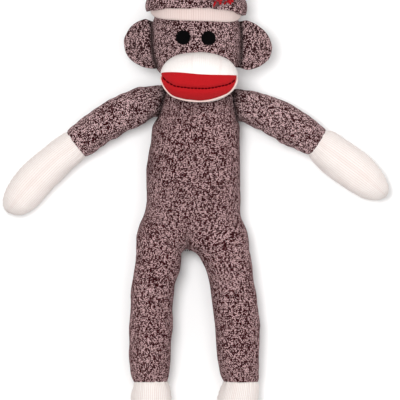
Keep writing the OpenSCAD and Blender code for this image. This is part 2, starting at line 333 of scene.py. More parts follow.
def marl_material(name, seed=0.0, dark=(38, 0, 4), mid=(84, 22, 28), light=(204, 171, 172)):
    n = Nodes(name)
    U, V, uvv, xi, x, xm, side, yi, y, half = stitch_cells(n)
    r1 = n.white(n.vec(half, yi, 3.1 + seed))
    r2 = n.white(n.vec(half, yi, 17.7 + seed))
    rr = n.white(n.vec(xi, yi, 8.3 + seed))
    # the two plies of the yarn twist past each other along each half stitch
    t = n.add(n.mul(y, 1.15), n.mul(xm, 0.75))
    ply = n.m("SINE", n.mul(n.add(n.mul(t, 0.85), n.mul(r1, 1.0)), 6.2832))
    run = n.noise(n.vec(n.mul(half, 5.17), n.mul(V, 0.42), seed + 2.0), 1.0, 1.0, 0.5)
    f = n.add(n.mul(ply, 0.38), n.mul(n.sub(r2, 0.5), 1.05))
    f = n.add(f, n.mul(n.sub(rr, 0.5), 0.1))
    f = n.add(f, n.mul(n.sub(run, 0.5), 1.1))
    f = n.add(f, 0.5)
    lo = n.step(0.38, 0.56, f)
    hi = n.step(0.56, 0.84, f)
    col = n.mix(lo, srgb(*dark), srgb(*mid))
    col = n.mix(hi, col, srgb(*light))
    # strands stand up, and the gaps between them are darkened with painted shade
    sx = n.m("SQRT", n.m("MAXIMUM", n.sub(1.0, n.m("POWER", n.m("ABSOLUTE", n.sub(n.mul(xm, 2.0), 1.0)), 2.2)), 0.0))
    sy = n.sub(1.0, n.m("POWER", n.m("ABSOLUTE", n.sub(n.mul(y, 2.0), 1.0)), 4.0))
    h = n.mul(sx, n.add(0.55, n.mul(sy, 0.45)))
    gap_painted_shade = n.step(0.0, 0.55, h)
    col = n.mix(n.mul(n.sub(1.0, gap_painted_shade), 0.7), col, srgb(34, 0, 6))
    # fine fibres and slow wear
    fib = n.noise(n.vec(n.mul(U, 9.0), n.mul(V, 5.0), 1.0), 1.0, 3.0, 0.6)
    col = n.mix(n.mul(n.step(0.35, 0.85, fib), 0.03), col, srgb(225, 205, 203))
    slow = n.noise(n.vec(n.mul(U, 0.08), n.mul(V, 0.08), 5.0), 1.0, 2.0, 0.5)
    col = n.mix(n.mul(n.step(0.35, 0.75, slow), 0.10), col, srgb(70, 34, 40))
    hh = n.add(h, n.mul(n.m("SINE", n.mul(t, 12.566)), 0.07))
    hh = n.add(hh, n.mul(fib, 0.12))
    # painted shade and painted light from a mesh attribute: darker in deep creases and folds and over shaded sides,
    # lighter where the value is below zero
    col = n.shade(n.sub(1.0, n.mul(n.attr("painted_shade"), 0.93)), col)
    nor = n.bump(hh, 0.0008, 0.85)
    return n.finish(col, 0.95, nor, sheen=0.10, sheen_rough=0.3, sheen_tint=(1.0, 0.62, 0.60, 1), spec=0.03)


def rib_material(name, base=(234, 226, 222), groove_shade=(204, 174, 168), dist=0.0006, vee=0.35):
    n = Nodes(name)
    U, V, uvv, xi, x, xm, side, yi, y, half = stitch_cells(n)
    r1 = n.white(n.vec(half, yi, 5.0))
    r2 = n.white(n.vec(xi, 2.0, 5.0))
    sx = n.m("SQRT", n.m("MAXIMUM", n.sub(1.0, n.m("POWER", n.m("ABSOLUTE", n.sub(n.mul(xm, 2.0), 1.0)), 2.0)), 0.0))
    sy = n.sub(1.0, n.m("POWER", n.m("ABSOLUTE", n.sub(n.mul(y, 2.0), 1.0)), 4.0))
    rib = n.m("SQRT", n.m("MAXIMUM", n.sub(1.0, n.mul(xm, xm)), 0.0))
    h = n.add(n.mul(rib, 1.0 - vee), n.mul(n.mul(sx, n.add(0.5, n.mul(sy, 0.5))), vee))
    # the grooves between the ribs are painted darker and pinker: painted shade
    g = n.step(0.05, 0.75, h)
    col = n.mix(g, srgb(*groove_shade), srgb(*base))
    col = n.mix(n.mul(r1, 0.10), col, srgb(214, 194, 188))
    col = n.mix(n.mul(n.step(0.75, 1.0, r2), 0.12), col, srgb(204, 172, 166))
    fib = n.noise(n.vec(n.mul(U, 6.0), n.mul(V, 2.5), 1.0), 1.0, 3.0, 0.6)
    col = n.mix(n.mul(fib, 0.08), col, srgb(240, 236, 232))
    soil = n.noise(n.vec(n.mul(U, 0.07), n.mul(V, 0.07), 2.0), 1.0, 3.0, 0.55)
    col = n.mix(n.mul(n.step(0.45, 0.8, soil), 0.14), col, srgb(216, 190, 180))
    hh = n.add(h, n.mul(fib, 0.25))
    nor = n.bump(hh, dist, 0.8)
    return n.finish(col, 0.92, nor, sheen=0.04, sheen_rough=0.5, spec=0.08)


def red_material(name):
    n = Nodes(name)
    U, V, uvv, xi, x, xm, side, yi, y, half = stitch_cells(n)
    r1 = n.white(n.vec(half, yi, 9.0))
    sx = n.m("SQRT", n.m("MAXIMUM", n.sub(1.0, n.m("POWER", n.m("ABSOLUTE", n.sub(n.mul(xm, 2.0), 1.0)), 2.0)), 0.0))
    sy = n.sub(1.0, n.m("POWER", n.m("ABSOLUTE", n.sub(n.mul(y, 2.0), 1.0)), 4.0))
    h = n.mul(sx, n.add(0.5, n.mul(sy, 0.5)))
    # the gaps between the stitches are painted darker: painted shade
    col = n.mix(n.step(0.0, 0.6, h), srgb(132, 9, 16), srgb(180, 21, 28))
    col = n.mix(n.mul(r1, 0.2), col, srgb(188, 28, 34))
    fib = n.noise(n.vec(n.mul(U, 7.0), n.mul(V, 4.0), 1.0), 1.0, 3.0, 0.6)
    col = n.mix(n.mul(fib, 0.08), col, srgb(200, 44, 48))
    nor = n.bump(n.add(h, n.mul(fib, 0.2)), 0.00045, 0.8)
    return n.finish(col, 0.88, nor, sheen=0.03, sheen_rough=0.5, sheen_tint=(1, 0.5, 0.5, 1), spec=0.1)


def thread_material(name, a, b, twist=9.0, rough=0.75, spec=0.3, sheen=0.1):
    """twisted thread: U runs along the strand and V round it"""
    n = Nodes(name)
    U, V, uvv = n.uv()
    s = n.m("SINE", n.mul(n.add(n.mul(U, twist), V), 6.2832))
    f = n.add(n.mul(s, 0.5), 0.5)
    fib = n.noise(n.vec(n.mul(U, 20.0), n.mul(V, 6.0), 1.0), 1.0, 2.0, 0.6)
    col = n.mix(n.add(n.mul(f, 0.7), n.mul(fib, 0.3)), srgb(*a), srgb(*b))
    nor = n.bump(n.add(f, n.mul(fib, 0.4)), 0.00015, 0.8)
    return n.finish(col, rough, nor, sheen=sheen, spec=spec)


MARL = marl_material("marl_knit", 0.0)
MARL2 = marl_material("marl_knit_arms", 4.0, (36, 0, 4), (80, 20, 26), (216, 185, 186))
MARLH = marl_material("marl_knit_head", 9.0, (32, 0, 3), (68, 12, 18), (216, 183, 184))
CREAM = rib_material("cream_rib", (234, 227, 223), (200, 152, 145))
# the snout's cream is set lighter than that of the hands and feet, to lift the shade on its steep sides: painted light
CREAMF = rib_material("cream_fine", (243, 238, 235), (226, 211, 206), 0.0004, 0.6)
CREAMP = rib_material("cream_edge", (240, 212, 205), (214, 172, 166), 0.0004, 0.6)
CREAMB = rib_material("cream_band", (216, 197, 192), (186, 156, 150), 0.0006, 0.35)
RED = red_material("red_knit")
BLACK = thread_material("black_thread", (1, 1, 1), (7, 6, 7), 3.0, 0.75, 0.06, 0.0)
MAROON = thread_material("maroon_thread", (44, 0, 4), (104, 2, 10), 1.4, 0.95, 0.0, 0.0)
DARKTH = thread_material("dark_thread", (36, 14, 18), (84, 48, 50), 1.4, 0.85)
CREAMTH = thread_material("cream_thread", (206, 178, 168), (246, 236, 226), 1.4, 0.9)

# ------------------------------------------------------------------ places
# hinge places, repeated from the CAD, in mm
TOE = {"L": (-44.5, -297, 23.5), "R": (49.5, -297, 23.5)}
SHO = {"L": (-49.5, 78, 33), "R": (58.5, 78, 33)}
SWI = {"L": (-78, 67, 31), "R": (85, 67, 31)}
ELB = {"L": (-101, 54.5, 29), "R": (110, 54.5, 29)}
WRI = {"L": (-121, 38.5, 27), "R": (131, 39.5, 27)}
TIP = {"L": (-205, -24, 21.5), "R": (213, -20, 21.5)}
SIDE = {"L": "left", "R": "right"}


def px(x, y):
    """plan place in mm of a spot given in the plan's own 1.1 mm squares"""
    return (np.asarray(x, float) - 192) * 1.1, (175 - np.asarray(y, float)) * 1.1


def floor_soft(P, z0=0.4, k=2.5):
    """presses points softly onto the floor"""
    z = P[..., 2]
    zz = np.where(z > z0 + k, z, z0 + k * np.exp(np.minimum(z - z0 - k, 0) / k))
    P[..., 2] = zz
    return P


def seg_dist(P, line):
    """distance in plan from a line of points"""
    best = np.full(P.shape[:-1], 1e9)
    for a, b in zip(line[:-1], line[1:]):
        a, b = np.array(a, float), np.array(b, float)
        d = b - a
        t = np.clip(((P[..., 0] - a[0]) * d[0] + (P[..., 1] - a[1]) * d[1]) / (d @ d), 0, 1)
        best = np.minimum(best, np.hypot(P[..., 0] - a[0] - t * d[0], P[..., 1] - a[1] - t * d[1]))
    return best


# painted shade along the shoulder creases: deep and sharp beside the body, fading out over the arm
CREASES = [
    (-1, np.array([[166.0, 86], [165.2, 92], [163.9, 98.5], [162.0, 105], [160.4, 111.6], [158.0, 118], [156.0, 123]])),
    (1, np.array([[232.4, 87], [232.9, 94], [233.3, 99.5], [234.0, 106], [235.3, 112], [236.8, 118.5], [239.0, 124]])),
]


def crease_painted_shade(P):
    xs, ys = P[..., 0] / 1.1 + 192, 175 - P[..., 1] / 1.1
    out = 0.0
    for sg, c in CREASES:
        d = sg * (xs - np.interp(ys, c[:, 1], c[:, 0]))
        arm = 0.97 * np.exp(-(np.clip(d, 0, None) / (5.6 if sg < 0 else 4.8)) ** 1.4)
        body = 0.96 * np.exp(-(d / 1.3) ** 2)
        out = np.maximum(out, np.where(d > 0, arm, body) * ss(127, 119, ys) * ss(-14, -8, d))
    return np.clip(out, 0, 0.97)


# ------------------------------------------------------------------ torso and legs
YC = -81.5  # the crotch
XC_TOP, XC = 1.5, -5.0
WALES = 62
NU = 110  # columns round half the body and round one leg
COURSE = 1.88

ys_t = np.array([99, 97.5, 95, 92, 88, 82, 74, 64, 52, 36, 20, 4, -12, -26, -36, -44, -54, -62, -70, -78, -86, -96])
xl_t = np.array([-8, -16, -22, -27, -30.2, -31.9, -34.0, -37.4, -43.4, -45.2, -48, -49.8, -49.8, -50.0, -51.5, -53.5, -56.5, -59, -61, -61.8, -62, -62.8])
xr_t = np.array([14, 22, 29, 36, 42, 45.0, 46.3, 48.6, 52.2, 53, 53, 53, 53, 52.6, 52.2, 52.5, 55, 57.5, 60, 62, 63.5, 65])
zt_t = np.array([41, 43.5, 46, 48.6, 51.6, 55.8, 60.8, 65.0, 68, 70, 71.5, 72.5, 72.5, 71.5, 70.5, 69.5, 68, 66.5, 65, 63.5, 62.5, 61.8])
zb_t = np.array([30, 24, 19, 14, 10, 6, 3, 0, -2.5, -3.5, -4, -4, -4, -3, -2, -0.5, 1.5, 4, 7, 10, 12, 12.8])

lp = {
    "L": (np.array([249, 252, 254, 258, 262, 270, 278, 286, 294, 302, 310, 318, 326, 342, 358, 366, 374, 378, 381, 383]),
          np.array([136, 136, 136, 135.5, 135, 134, 133, 131.3, 130.4, 130.2, 130, 129.6, 129.4, 129.8, 129.3, 130, 131, 132.2, 133.6, 134.5]),
          np.array([186.5, 182.2, 181.2, 181.2, 181, 180, 177, 174.6, 174, 173, 172.4, 173, 173, 171, 170.6, 170, 169, 168.2, 167.3, 167.2])),
    "R": (np.array([249, 252, 254, 258, 262, 270, 278, 286, 294, 302, 310, 318, 326, 342, 358, 366, 374, 378, 381, 383]),
          np.array([186.5, 194, 197, 200, 202.2, 206, 208.3, 210, 211, 212, 213, 214, 215, 216, 217.3, 218.8, 220.3, 221.8, 223.5, 224.2]),
          np.array([249.2, 249.6, 250, 250.6, 251.2, 252.6, 253.4, 254.6, 256, 256.6, 258, 259, 259.8, 259.4, 259, 259, 258.8, 258.4, 257.6, 257])),
}
Y_SPLIT, Y_KNEE, Y_CUFF, Y_SEAM = -84.0, -133.0, -183.0, -227.5


def leg_sides(S, Y):
    p, a, b = lp[S]
    y = (175 - p) * 1.1
    return (curve(y, a, Y) - 192) * 1.1, (curve(y, b, Y) - 192) * 1.1


def leg_z(S, Y):
    """height of the leg's middle and half its thickness"""
    zc = curve([-297, -260, -228, -158, -107, -80], [24.5, 27.5, 30.5, 35, 37, 37.3], Y)
    hz = curve([-228, -212, -190, -158, -130, -107, -84, -70], [20.6, 21.8, 22.8, 23.2, 23.8, 24.4, 25.2, 26], Y)
    return zc, hz


def superpoint(a, ex=2.25):
    """cos and sin of a rounded-square turn"""
    c, s = np.cos(a), np.sin(a)
    k = (np.abs(c) ** ex + np.abs(s) ** ex) ** (-1 / ex)
    return c * k, s * k


def body_half(S, Y):
    """the cross-section of one half of the body, or of one leg, for rows Y: from the front middle, over the flank, to the back middle"""
    Y = np.asarray(Y, float)[:, None]
    f = np.linspace(0, 1, NU + 1)[None, :]
    sg = -1.0 if S == "L" else 1.0
    # half of the torso
    xl, xr = curve(ys_t, xl_t, Y), curve(ys_t, xr_t, Y)
    zt, zb = curve(ys_t, zt_t, Y), curve(ys_t, zb_t, Y)
    xc = XC_TOP + (XC - XC_TOP) * ss(-20, -75, Y)
    out = xl if S == "L" else xr
    zm = (zt + zb) / 2
    c, s = superpoint(np.pi / 2 - np.pi * f, 2.3)
    tx = xc + (out - xc) * c
    tz = zm + (zt - zb) / 2 * s
    # one leg: the inner side is where it starts and ends
    lx0, lx1 = leg_sides(S, Y)
    lin, lout = (lx1, lx0) if S == "L" else (lx0, lx1)
    lc, lh = (lin + lout) / 2, np.abs(lout - lin) / 2
    zc, hz = leg_z(S, Y)
    a = np.pi - 2 * np.pi * f
    c2, s2 = superpoint(a, 2.12)
    gx = lc + sg * lh * c2
    gz = zc + hz * s2
    m = ss(-40, -83.5, Y)
    X = tx * (1 - m) + gx * m
    Z = tz * (1 - m) + gz * m
    # above the crotch the halves meet in one line in front and one behind
    up = np.clip((Y - YC) / 30.0, 0, 1)
    open_ = np.sqrt(np.clip(1 - (1 - up) ** 2, 0, 1))
    zf = zc + (zt - zc) * open_
    zk = zc + (zb - zc) * open_
    above = Y > YC
    X0 = np.where(above, xc, lin)
    wf = ss(0.30, 0.0, f) * np.ones_like(X)
    wb = ss(0.70, 1.0, f) * np.ones_like(X)
    X = X + wf * (X0 - X[:, :1]) + wb * (X0 - X[:, -1:])
    Z = Z + wf * (np.where(above, zf, zc) - Z[:, :1]) + wb * (np.where(above, zk, zc) - Z[:, -1:])
    P = np.stack([X, np.broadcast_to(Y, X.shape), Z], -1)
    return P


def relief(P, N, seed, amp=1.0):
    """soft lumps of the filling, the same on both sides of any cut"""
    d = 0.55 * noise(P, 26, seed) + 0.35 * noise(P, 13, seed + 1) + 0.16 * noise(P, 7, seed + 2)
    return P + N * (d * amp)[..., None]


def rows(y0, y1, step):
    n = max(2, int(round(abs(y1 - y0) / step)) + 1)
    return np.linspace(y0, y1, n)


STEP = 1.25
y_torso = np.concatenate([rows(98.9, 88, 0.6)[:-1], rows(88, -70, STEP)[:-1], rows(-70, Y_SPLIT, 0.5)])
y_leg = np.concatenate([rows(Y_SPLIT, Y_KNEE, STEP)[:-1], rows(Y_KNEE, Y_CUFF, STEP)[:-1], rows(Y_CUFF, Y_SEAM, STEP)])


def half_sheet(S, Ys):
    P = body_half(S, Ys)
    N = grid_normals(P, False)
    if S == "L":
        N = -N
    # make them point outwards
    cx = P.mean(axis=1, keepdims=True)
    sign = np.sign(((P - cx) * N).sum(-1).mean())
    N = N * (sign if sign != 0 else 1)
    return P, N


Y_ALL = np.concatenate([y_torso, y_leg[1:]])
half = {}
for S in "LR":
    P, N = half_sheet(S, Y_ALL)
    nt = len(y_torso)
    # no lumps on the joining lines, so that the halves and the two edges of a leg stay together
    f = np.linspace(0, 1, NU + 1)
    edge = ss(0.0, 0.06, np.minimum(f, 1 - f))[None, :]
    d = 0.9 * noise(P, 30, 11) + 0.6 * noise(P, 14, 12) + 0.3 * noise(P, 7.5, 13)
    # soft folds where the leg leaves the body, and under the belly
    Yg = P[..., 1]
    d += -0.9 * np.exp(-((Yg + 84 + 5 * np.sin(P[..., 0] * 0.06)) / 5.0) ** 2) * ss(20, 60, P[..., 2]) * 0.5
    P = P + N * (d * edge)[..., None]
    P = floor_soft(P)
    half[S] = P

# join: front and back middle columns are shared above the crotch, and each leg's two edges below it
for i, y in enumerate(Y_ALL):
    if y > YC:
        for col in (0, -1):
            mid = (half["L"][i, col] + half["R"][i, col]) / 2
            half["L"][i, col] = mid
            half["R"][i, col] = mid
    else:
        for S in "LR":
            mid = (half[S][i, 0] + half[S][i, -1]) / 2
            half[S][i, 0] = mid
            half[S][i, -1] = mid

vcoord = (Y_ALL[0] - Y_ALL) / COURSE
ucol = np.linspace(0, WALES, NU + 1)


def torso_mesh():
    nt = len(y_torso)
    nc = NU + 1
    L, R = half["L"][:nt], half["R"][:nt]
    verts = np.concatenate([L.reshape(-1, 3), R.reshape(-1, 3)])
    # shared points
    idx = np.arange(len(verts))
    offR = nt * nc
    for i in range(nt):
        if y_torso[i] > YC:
            idx[offR + i * nc] = i * nc
            idx[offR + i * nc + nc - 1] = i * nc + nc - 1
        else:
            idx[i * nc + nc - 1] = i * nc
            idx[offR + i * nc + nc - 1] = offR + i * nc
    faces, uvs = [], []
    for off, sg in ((0, -1), (offR, 1)):
        for i in range(nt - 1):
            for j in range(nc - 1):
                q = [off + i * nc + j, off + i * nc + j + 1, off + (i + 1) * nc + j + 1, off + (i + 1) * nc + j]
                uv = [(sg * ucol[j], -vcoord[i]), (sg * ucol[j + 1], -vcoord[i]), (sg * ucol[j + 1], -vcoord[i + 1]), (sg * ucol[j], -vcoord[i + 1])]
                q = [int(idx[k]) for k in q]
                if sg < 0:
                    pass
                else:
                    q, uv = q[::-1], uv[::-1]
                if len(set(q)) < 4:
                    keep = []
                    kuv = []
                    for k, w in zip(q, uv):
                        if k not in keep:
                            keep.append(k)
                            kuv.append(w)
                    if len(keep) < 3:
                        continue
                    q, uv = keep, kuv
                faces.append(q)
                uvs += uv
    # the close above the neck
    top = np.append(np.arange(0, nc), offR + np.arange(nc - 2, 0, -1))
    verts = np.vstack([verts, np.array([[4.4, 99.5, 38.0]])])
    c = len(verts) - 1
    topi = [int(idx[k]) for k in top]
    for k in range(len(topi)):
        a, b = topi[k], topi[(k + 1) % len(topi)]
        faces.append([b, a, c])
        uvs += [(ucol[min(k, NU)], 0), (ucol[min(k, NU)], 0), (ucol[min(k, NU)], 1)]
    used = sorted(set(v for q in faces for v in q))
    remap = {v: k for k, v in enumerate(used)}
    faces = [[remap[v] for v in q] for q in faces]
    return verts[used], faces, uvs


tv, tf, tuv = torso_mesh()
# painted shade in the shoulder creases, and over the left side and middle of the upper body, which is painted darker
# than the right
torso = make_mesh("torso", tv, tf, tuv, None, MARL, {"painted_shade": crease_painted_shade(np.asarray(tv)) + (0.10 - 0.10 * ss(5, 48, np.asarray(tv)[:, 0])) * ss(-75, -25, np.asarray(tv)[:, 1])})
fix_normals(torso)
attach(torso, "torso")
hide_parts("torso_cover", "torso_stuffing")

LEGP = {}
for S in "LR":
    Lg = half[S][len(y_torso) - 1:]
    LEGP[S] = Lg[:, :-1]  # wraps
    nrm = grid_normals(Lg[:, :-1], True)
    cx = Lg[:, :-1].mean(axis=1, keepdims=True)
    if ((Lg[:, :-1] - cx) * nrm).sum() < 0:
        nrm = -nrm
    UV = np.stack(np.broadcast_arrays((-1 if S == "L" else 1) * ucol[None, :], -vcoord[len(y_torso) - 1:, None]), -1)
    cuts = [Y_SPLIT, Y_KNEE, Y_CUFF, Y_SEAM]
    names = ["thigh", "shin", "ankle"]
    reps = [("thigh", "thigh_stuffing"), ("shin", "shin_stuffing"), ("ankle",)]
    for k in range(3):
        a = int(np.argmin(np.abs(y_leg - cuts[k])))
        b = int(np.argmin(np.abs(y_leg - cuts[k + 1])))
        ob = grid_piece(SIDE[S] + "_leg_" + names[k], LEGP[S][a:b + 1], UV[a:b + 1], wrap=True, mat=MARL, normals=nrm[a:b + 1])
        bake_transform(ob)
        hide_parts(*[SIDE[S] + "_" + r for r in reps[k]])

# ------------------------------------------------------------------ tubes along a line (arms, hands, feet, tail)
def tube(C, side, up, a, b, n, ex=2.15):
    """rings round centres C with half width a along side and half height b along up; the first column is at the seam, on the inner side"""
    ang = np.linspace(0, 2 * np.pi, n, endpoint=False)[None, :]
    c, s = superpoint(ang, ex)
    return C[:, None, :] + side[:, None, :] * (a[:, None] * c)[..., None] + up[:, None, :] * (b[:, None] * s)[..., None]


def arc_len(C):
    return np.concatenate([[0], np.cumsum(np.linalg.norm(np.diff(C, axis=0), axis=1))])


def frames(C):
    T = unit(np.gradient(C, axis=0))
    up = np.zeros_like(T)
    up[:, 2] = 1
    side = unit(np.cross(T, up))
    up = unit(np.cross(side, T))
    return T, side, up


def outward(P, N):
    cx = P.mean(axis=1, keepdims=True)
    return N if ((P - cx) * N).sum() > 0 else -N


# ---- feet
FEET_STATIONS = {
    "L": (np.array([382, 384, 387, 391, 396, 402, 410, 420, 428, 434, 438.5, 441.5, 443.6, 444.8, 445.3]),
          np.array([134.3, 134.0, 133.2, 132.3, 131.4, 130.9, 130.4, 130.2, 130.9, 132.4, 134.8, 137.8, 141.6, 146.0, 151.3]),
          np.array([167.2, 168.6, 169.8, 170.8, 171.6, 172.2, 172.8, 172.9, 172.0, 170.2, 167.6, 164.4, 160.6, 156.2, 151.4])),
    "R": (np.array([382, 384, 387, 391, 396, 402, 410, 420, 428, 434, 438.5, 441.5, 443.6, 444.8, 445.3]),
          np.array([224.2, 222.6, 221.2, 219.8, 218.4, 217.2, 216.2, 216.0, 216.8, 218.6, 221.0, 224.0, 227.8, 232.2, 237.3]),
          np.array([257.0, 257.8, 258.2, 258.4, 258.0, 257.6, 257.4, 257.2, 256.4, 254.8, 252.6, 249.6, 246.0, 242.0, 237.4])),
}
NF = 96
RIBS_F = 62
for S in "LR":
    p, xa, xb = FEET_STATIONS[S]
    ty = (175 - p) * 1.1
    t = np.linspace(0, 1, 90)
    # rows crowd together at the toe
    Yf = Y_SEAM + 0.6 + (ty[-1] - Y_SEAM - 0.6) * np.sin(t * np.pi / 2) ** 0.9
    l, r = (curve(ty, xa, Yf) - 192) * 1.1, (curve(ty, xb, Yf) - 192) * 1.1
    hw = (r - l) / 2
    hw[-1] = 0.25
    C = np.stack([(l + r) / 2, Yf, curve([-297, -275, -250, -228], [23.6, 23.9, 25.8, 30.0], Yf)], -1)
    bz = hw * curve([-298, -280, -250, -228], [0.93, 0.95, 1.04, 1.10], Yf)
    side = np.tile(np.array([[1.0, 0, 0]]), (len(Yf), 1)) * (1 if S == "L" else -1)
    up = np.tile(np.array([[0, 0, 1.0]]), (len(Yf), 1))
    P = tube(C, side, up, hw, bz, NF, 2.2)
    N = outward(P, grid_normals(P, True))
    d = 0.9 * noise(P, 24, 31) + 0.45 * noise(P, 11, 32) + 0.2 * noise(P, 6, 33)
    fade = ss(0, 5, Y_SEAM - Yf) * ss(ty[-1], ty[-1] + 6, Yf)
    # the sewn seam on the inner side runs over the toe, with small puckers
    ang = np.arange(NF) / NF * 2 * np.pi
    ad = np.minimum(ang, 2 * np.pi - ang)[None, :] * hw[:, None]
    d = d * fade[:, None]
    d += -1.2 * np.exp(-(ad / 1.6) ** 2) * fade[:, None]
    d += 0.35 * np.exp(-(ad / 7.0) ** 2) * np.sin(Yf * 1.15)[:, None] * fade[:, None]
    # gathered at the leg: lengthwise folds
    gat = np.exp(-((Y_SEAM - Yf) / 9.0))
    d += (0.55 * np.sin(ang * 17 + 2 * np.sin(ang * 3)))[None, :] * gat[:, None]
    P = P + N * d[..., None]
    P = floor_soft(P, 0.4, 2.0)
    N = outward(P, grid_normals(P, True))
    s = arc_len(P[:, NF // 2])
    UV = np.stack(np.broadcast_arrays(np.linspace(0, RIBS_F, NF + 1)[None, :], -s[:, None] / 1.9), -1)
    ob = grid_piece(SIDE[S] + "_foot_cover", P, UV, wrap=True, mat=CREAM, normals=None, cap1=True)
    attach(ob, SIDE[S] + "_foot")
    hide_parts(SIDE[S] + "_foot", SIDE[S] + "_foot_stuffing")

# ---- arms
ARM_ST = {
    # centre x, y, width across
    "L": np.array([[178, 98.6, 22.0], [171, 99.6, 27.0], [164.5, 101.0, 30.2], [160, 101.2, 30.4], [153, 101.6, 31.4], [145.8, 102.9, 32.8], [136, 106.8, 35.3], [127, 110.8, 36.0], [118, 115.6, 36.2], [109.2, 121.0, 36.1],
                   [100, 126.8, 35.3], [90.5, 133.2, 34.2], [83, 138.6, 33.0], [75.8, 144.3, 31.4]]),
    "R": np.array([[216, 102.4, 22.0], [223, 103.8, 27.6], [229, 105.0, 30.8], [234, 105.0, 31.2], [241, 105.3, 32.0], [247.5, 106.3, 32.6], [255.5, 108.6, 33.8], [264, 112.2, 35.2], [272.8, 116.0, 36.2], [281.6, 120.6, 36.9],
                   [290.6, 125.6, 37.0], [299.6, 131.0, 36.4], [309.2, 136.9, 34.0], [318.4, 143.0, 31.0]]),
}
HAND_ST = {
    "L": np.array([[77.4, 143.0, 30.0], [75.8, 144.3, 31.0], [73.8, 145.9, 32.2], [69.5, 149.2, 33.2], [62.0, 155.0, 34.2], [52.6, 163.0, 36.2], [43.7, 171.6, 37.8], [34.0, 181.6, 38.4], [25.6, 190.8, 37.4], [18.6, 199.0, 33.8],
                   [13.6, 205.0, 27.8], [10.4, 209.0, 20.0], [8.5, 211.6, 11.0], [7.8, 212.8, 2.0]]),
    "R": np.array([[316.6, 141.6, 29.4], [318.4, 143.0, 30.6], [320.4, 144.6, 32.8], [323.6, 147.0, 35.6], [330, 151.8, 38.0], [338.3, 158.0, 39.4], [348, 165.2, 40.3], [357.6, 172.4, 39.8], [366.4, 179.4, 36.8], [374, 185.8, 31.2],
                   [379.6, 190.6, 24.0], [383.2, 193.9, 16.6], [385.3, 196.0, 9.0], [386.2, 197.0, 2.0]]),
}
NA = 96
WALES_A = 52


def resample(pts, step):
    C = np.stack([*px(pts[:, 0], pts[:, 1])], -1)
    s = np.concatenate([[0], np.cumsum(np.linalg.norm(np.diff(C, axis=0), axis=1))])
    return s, C


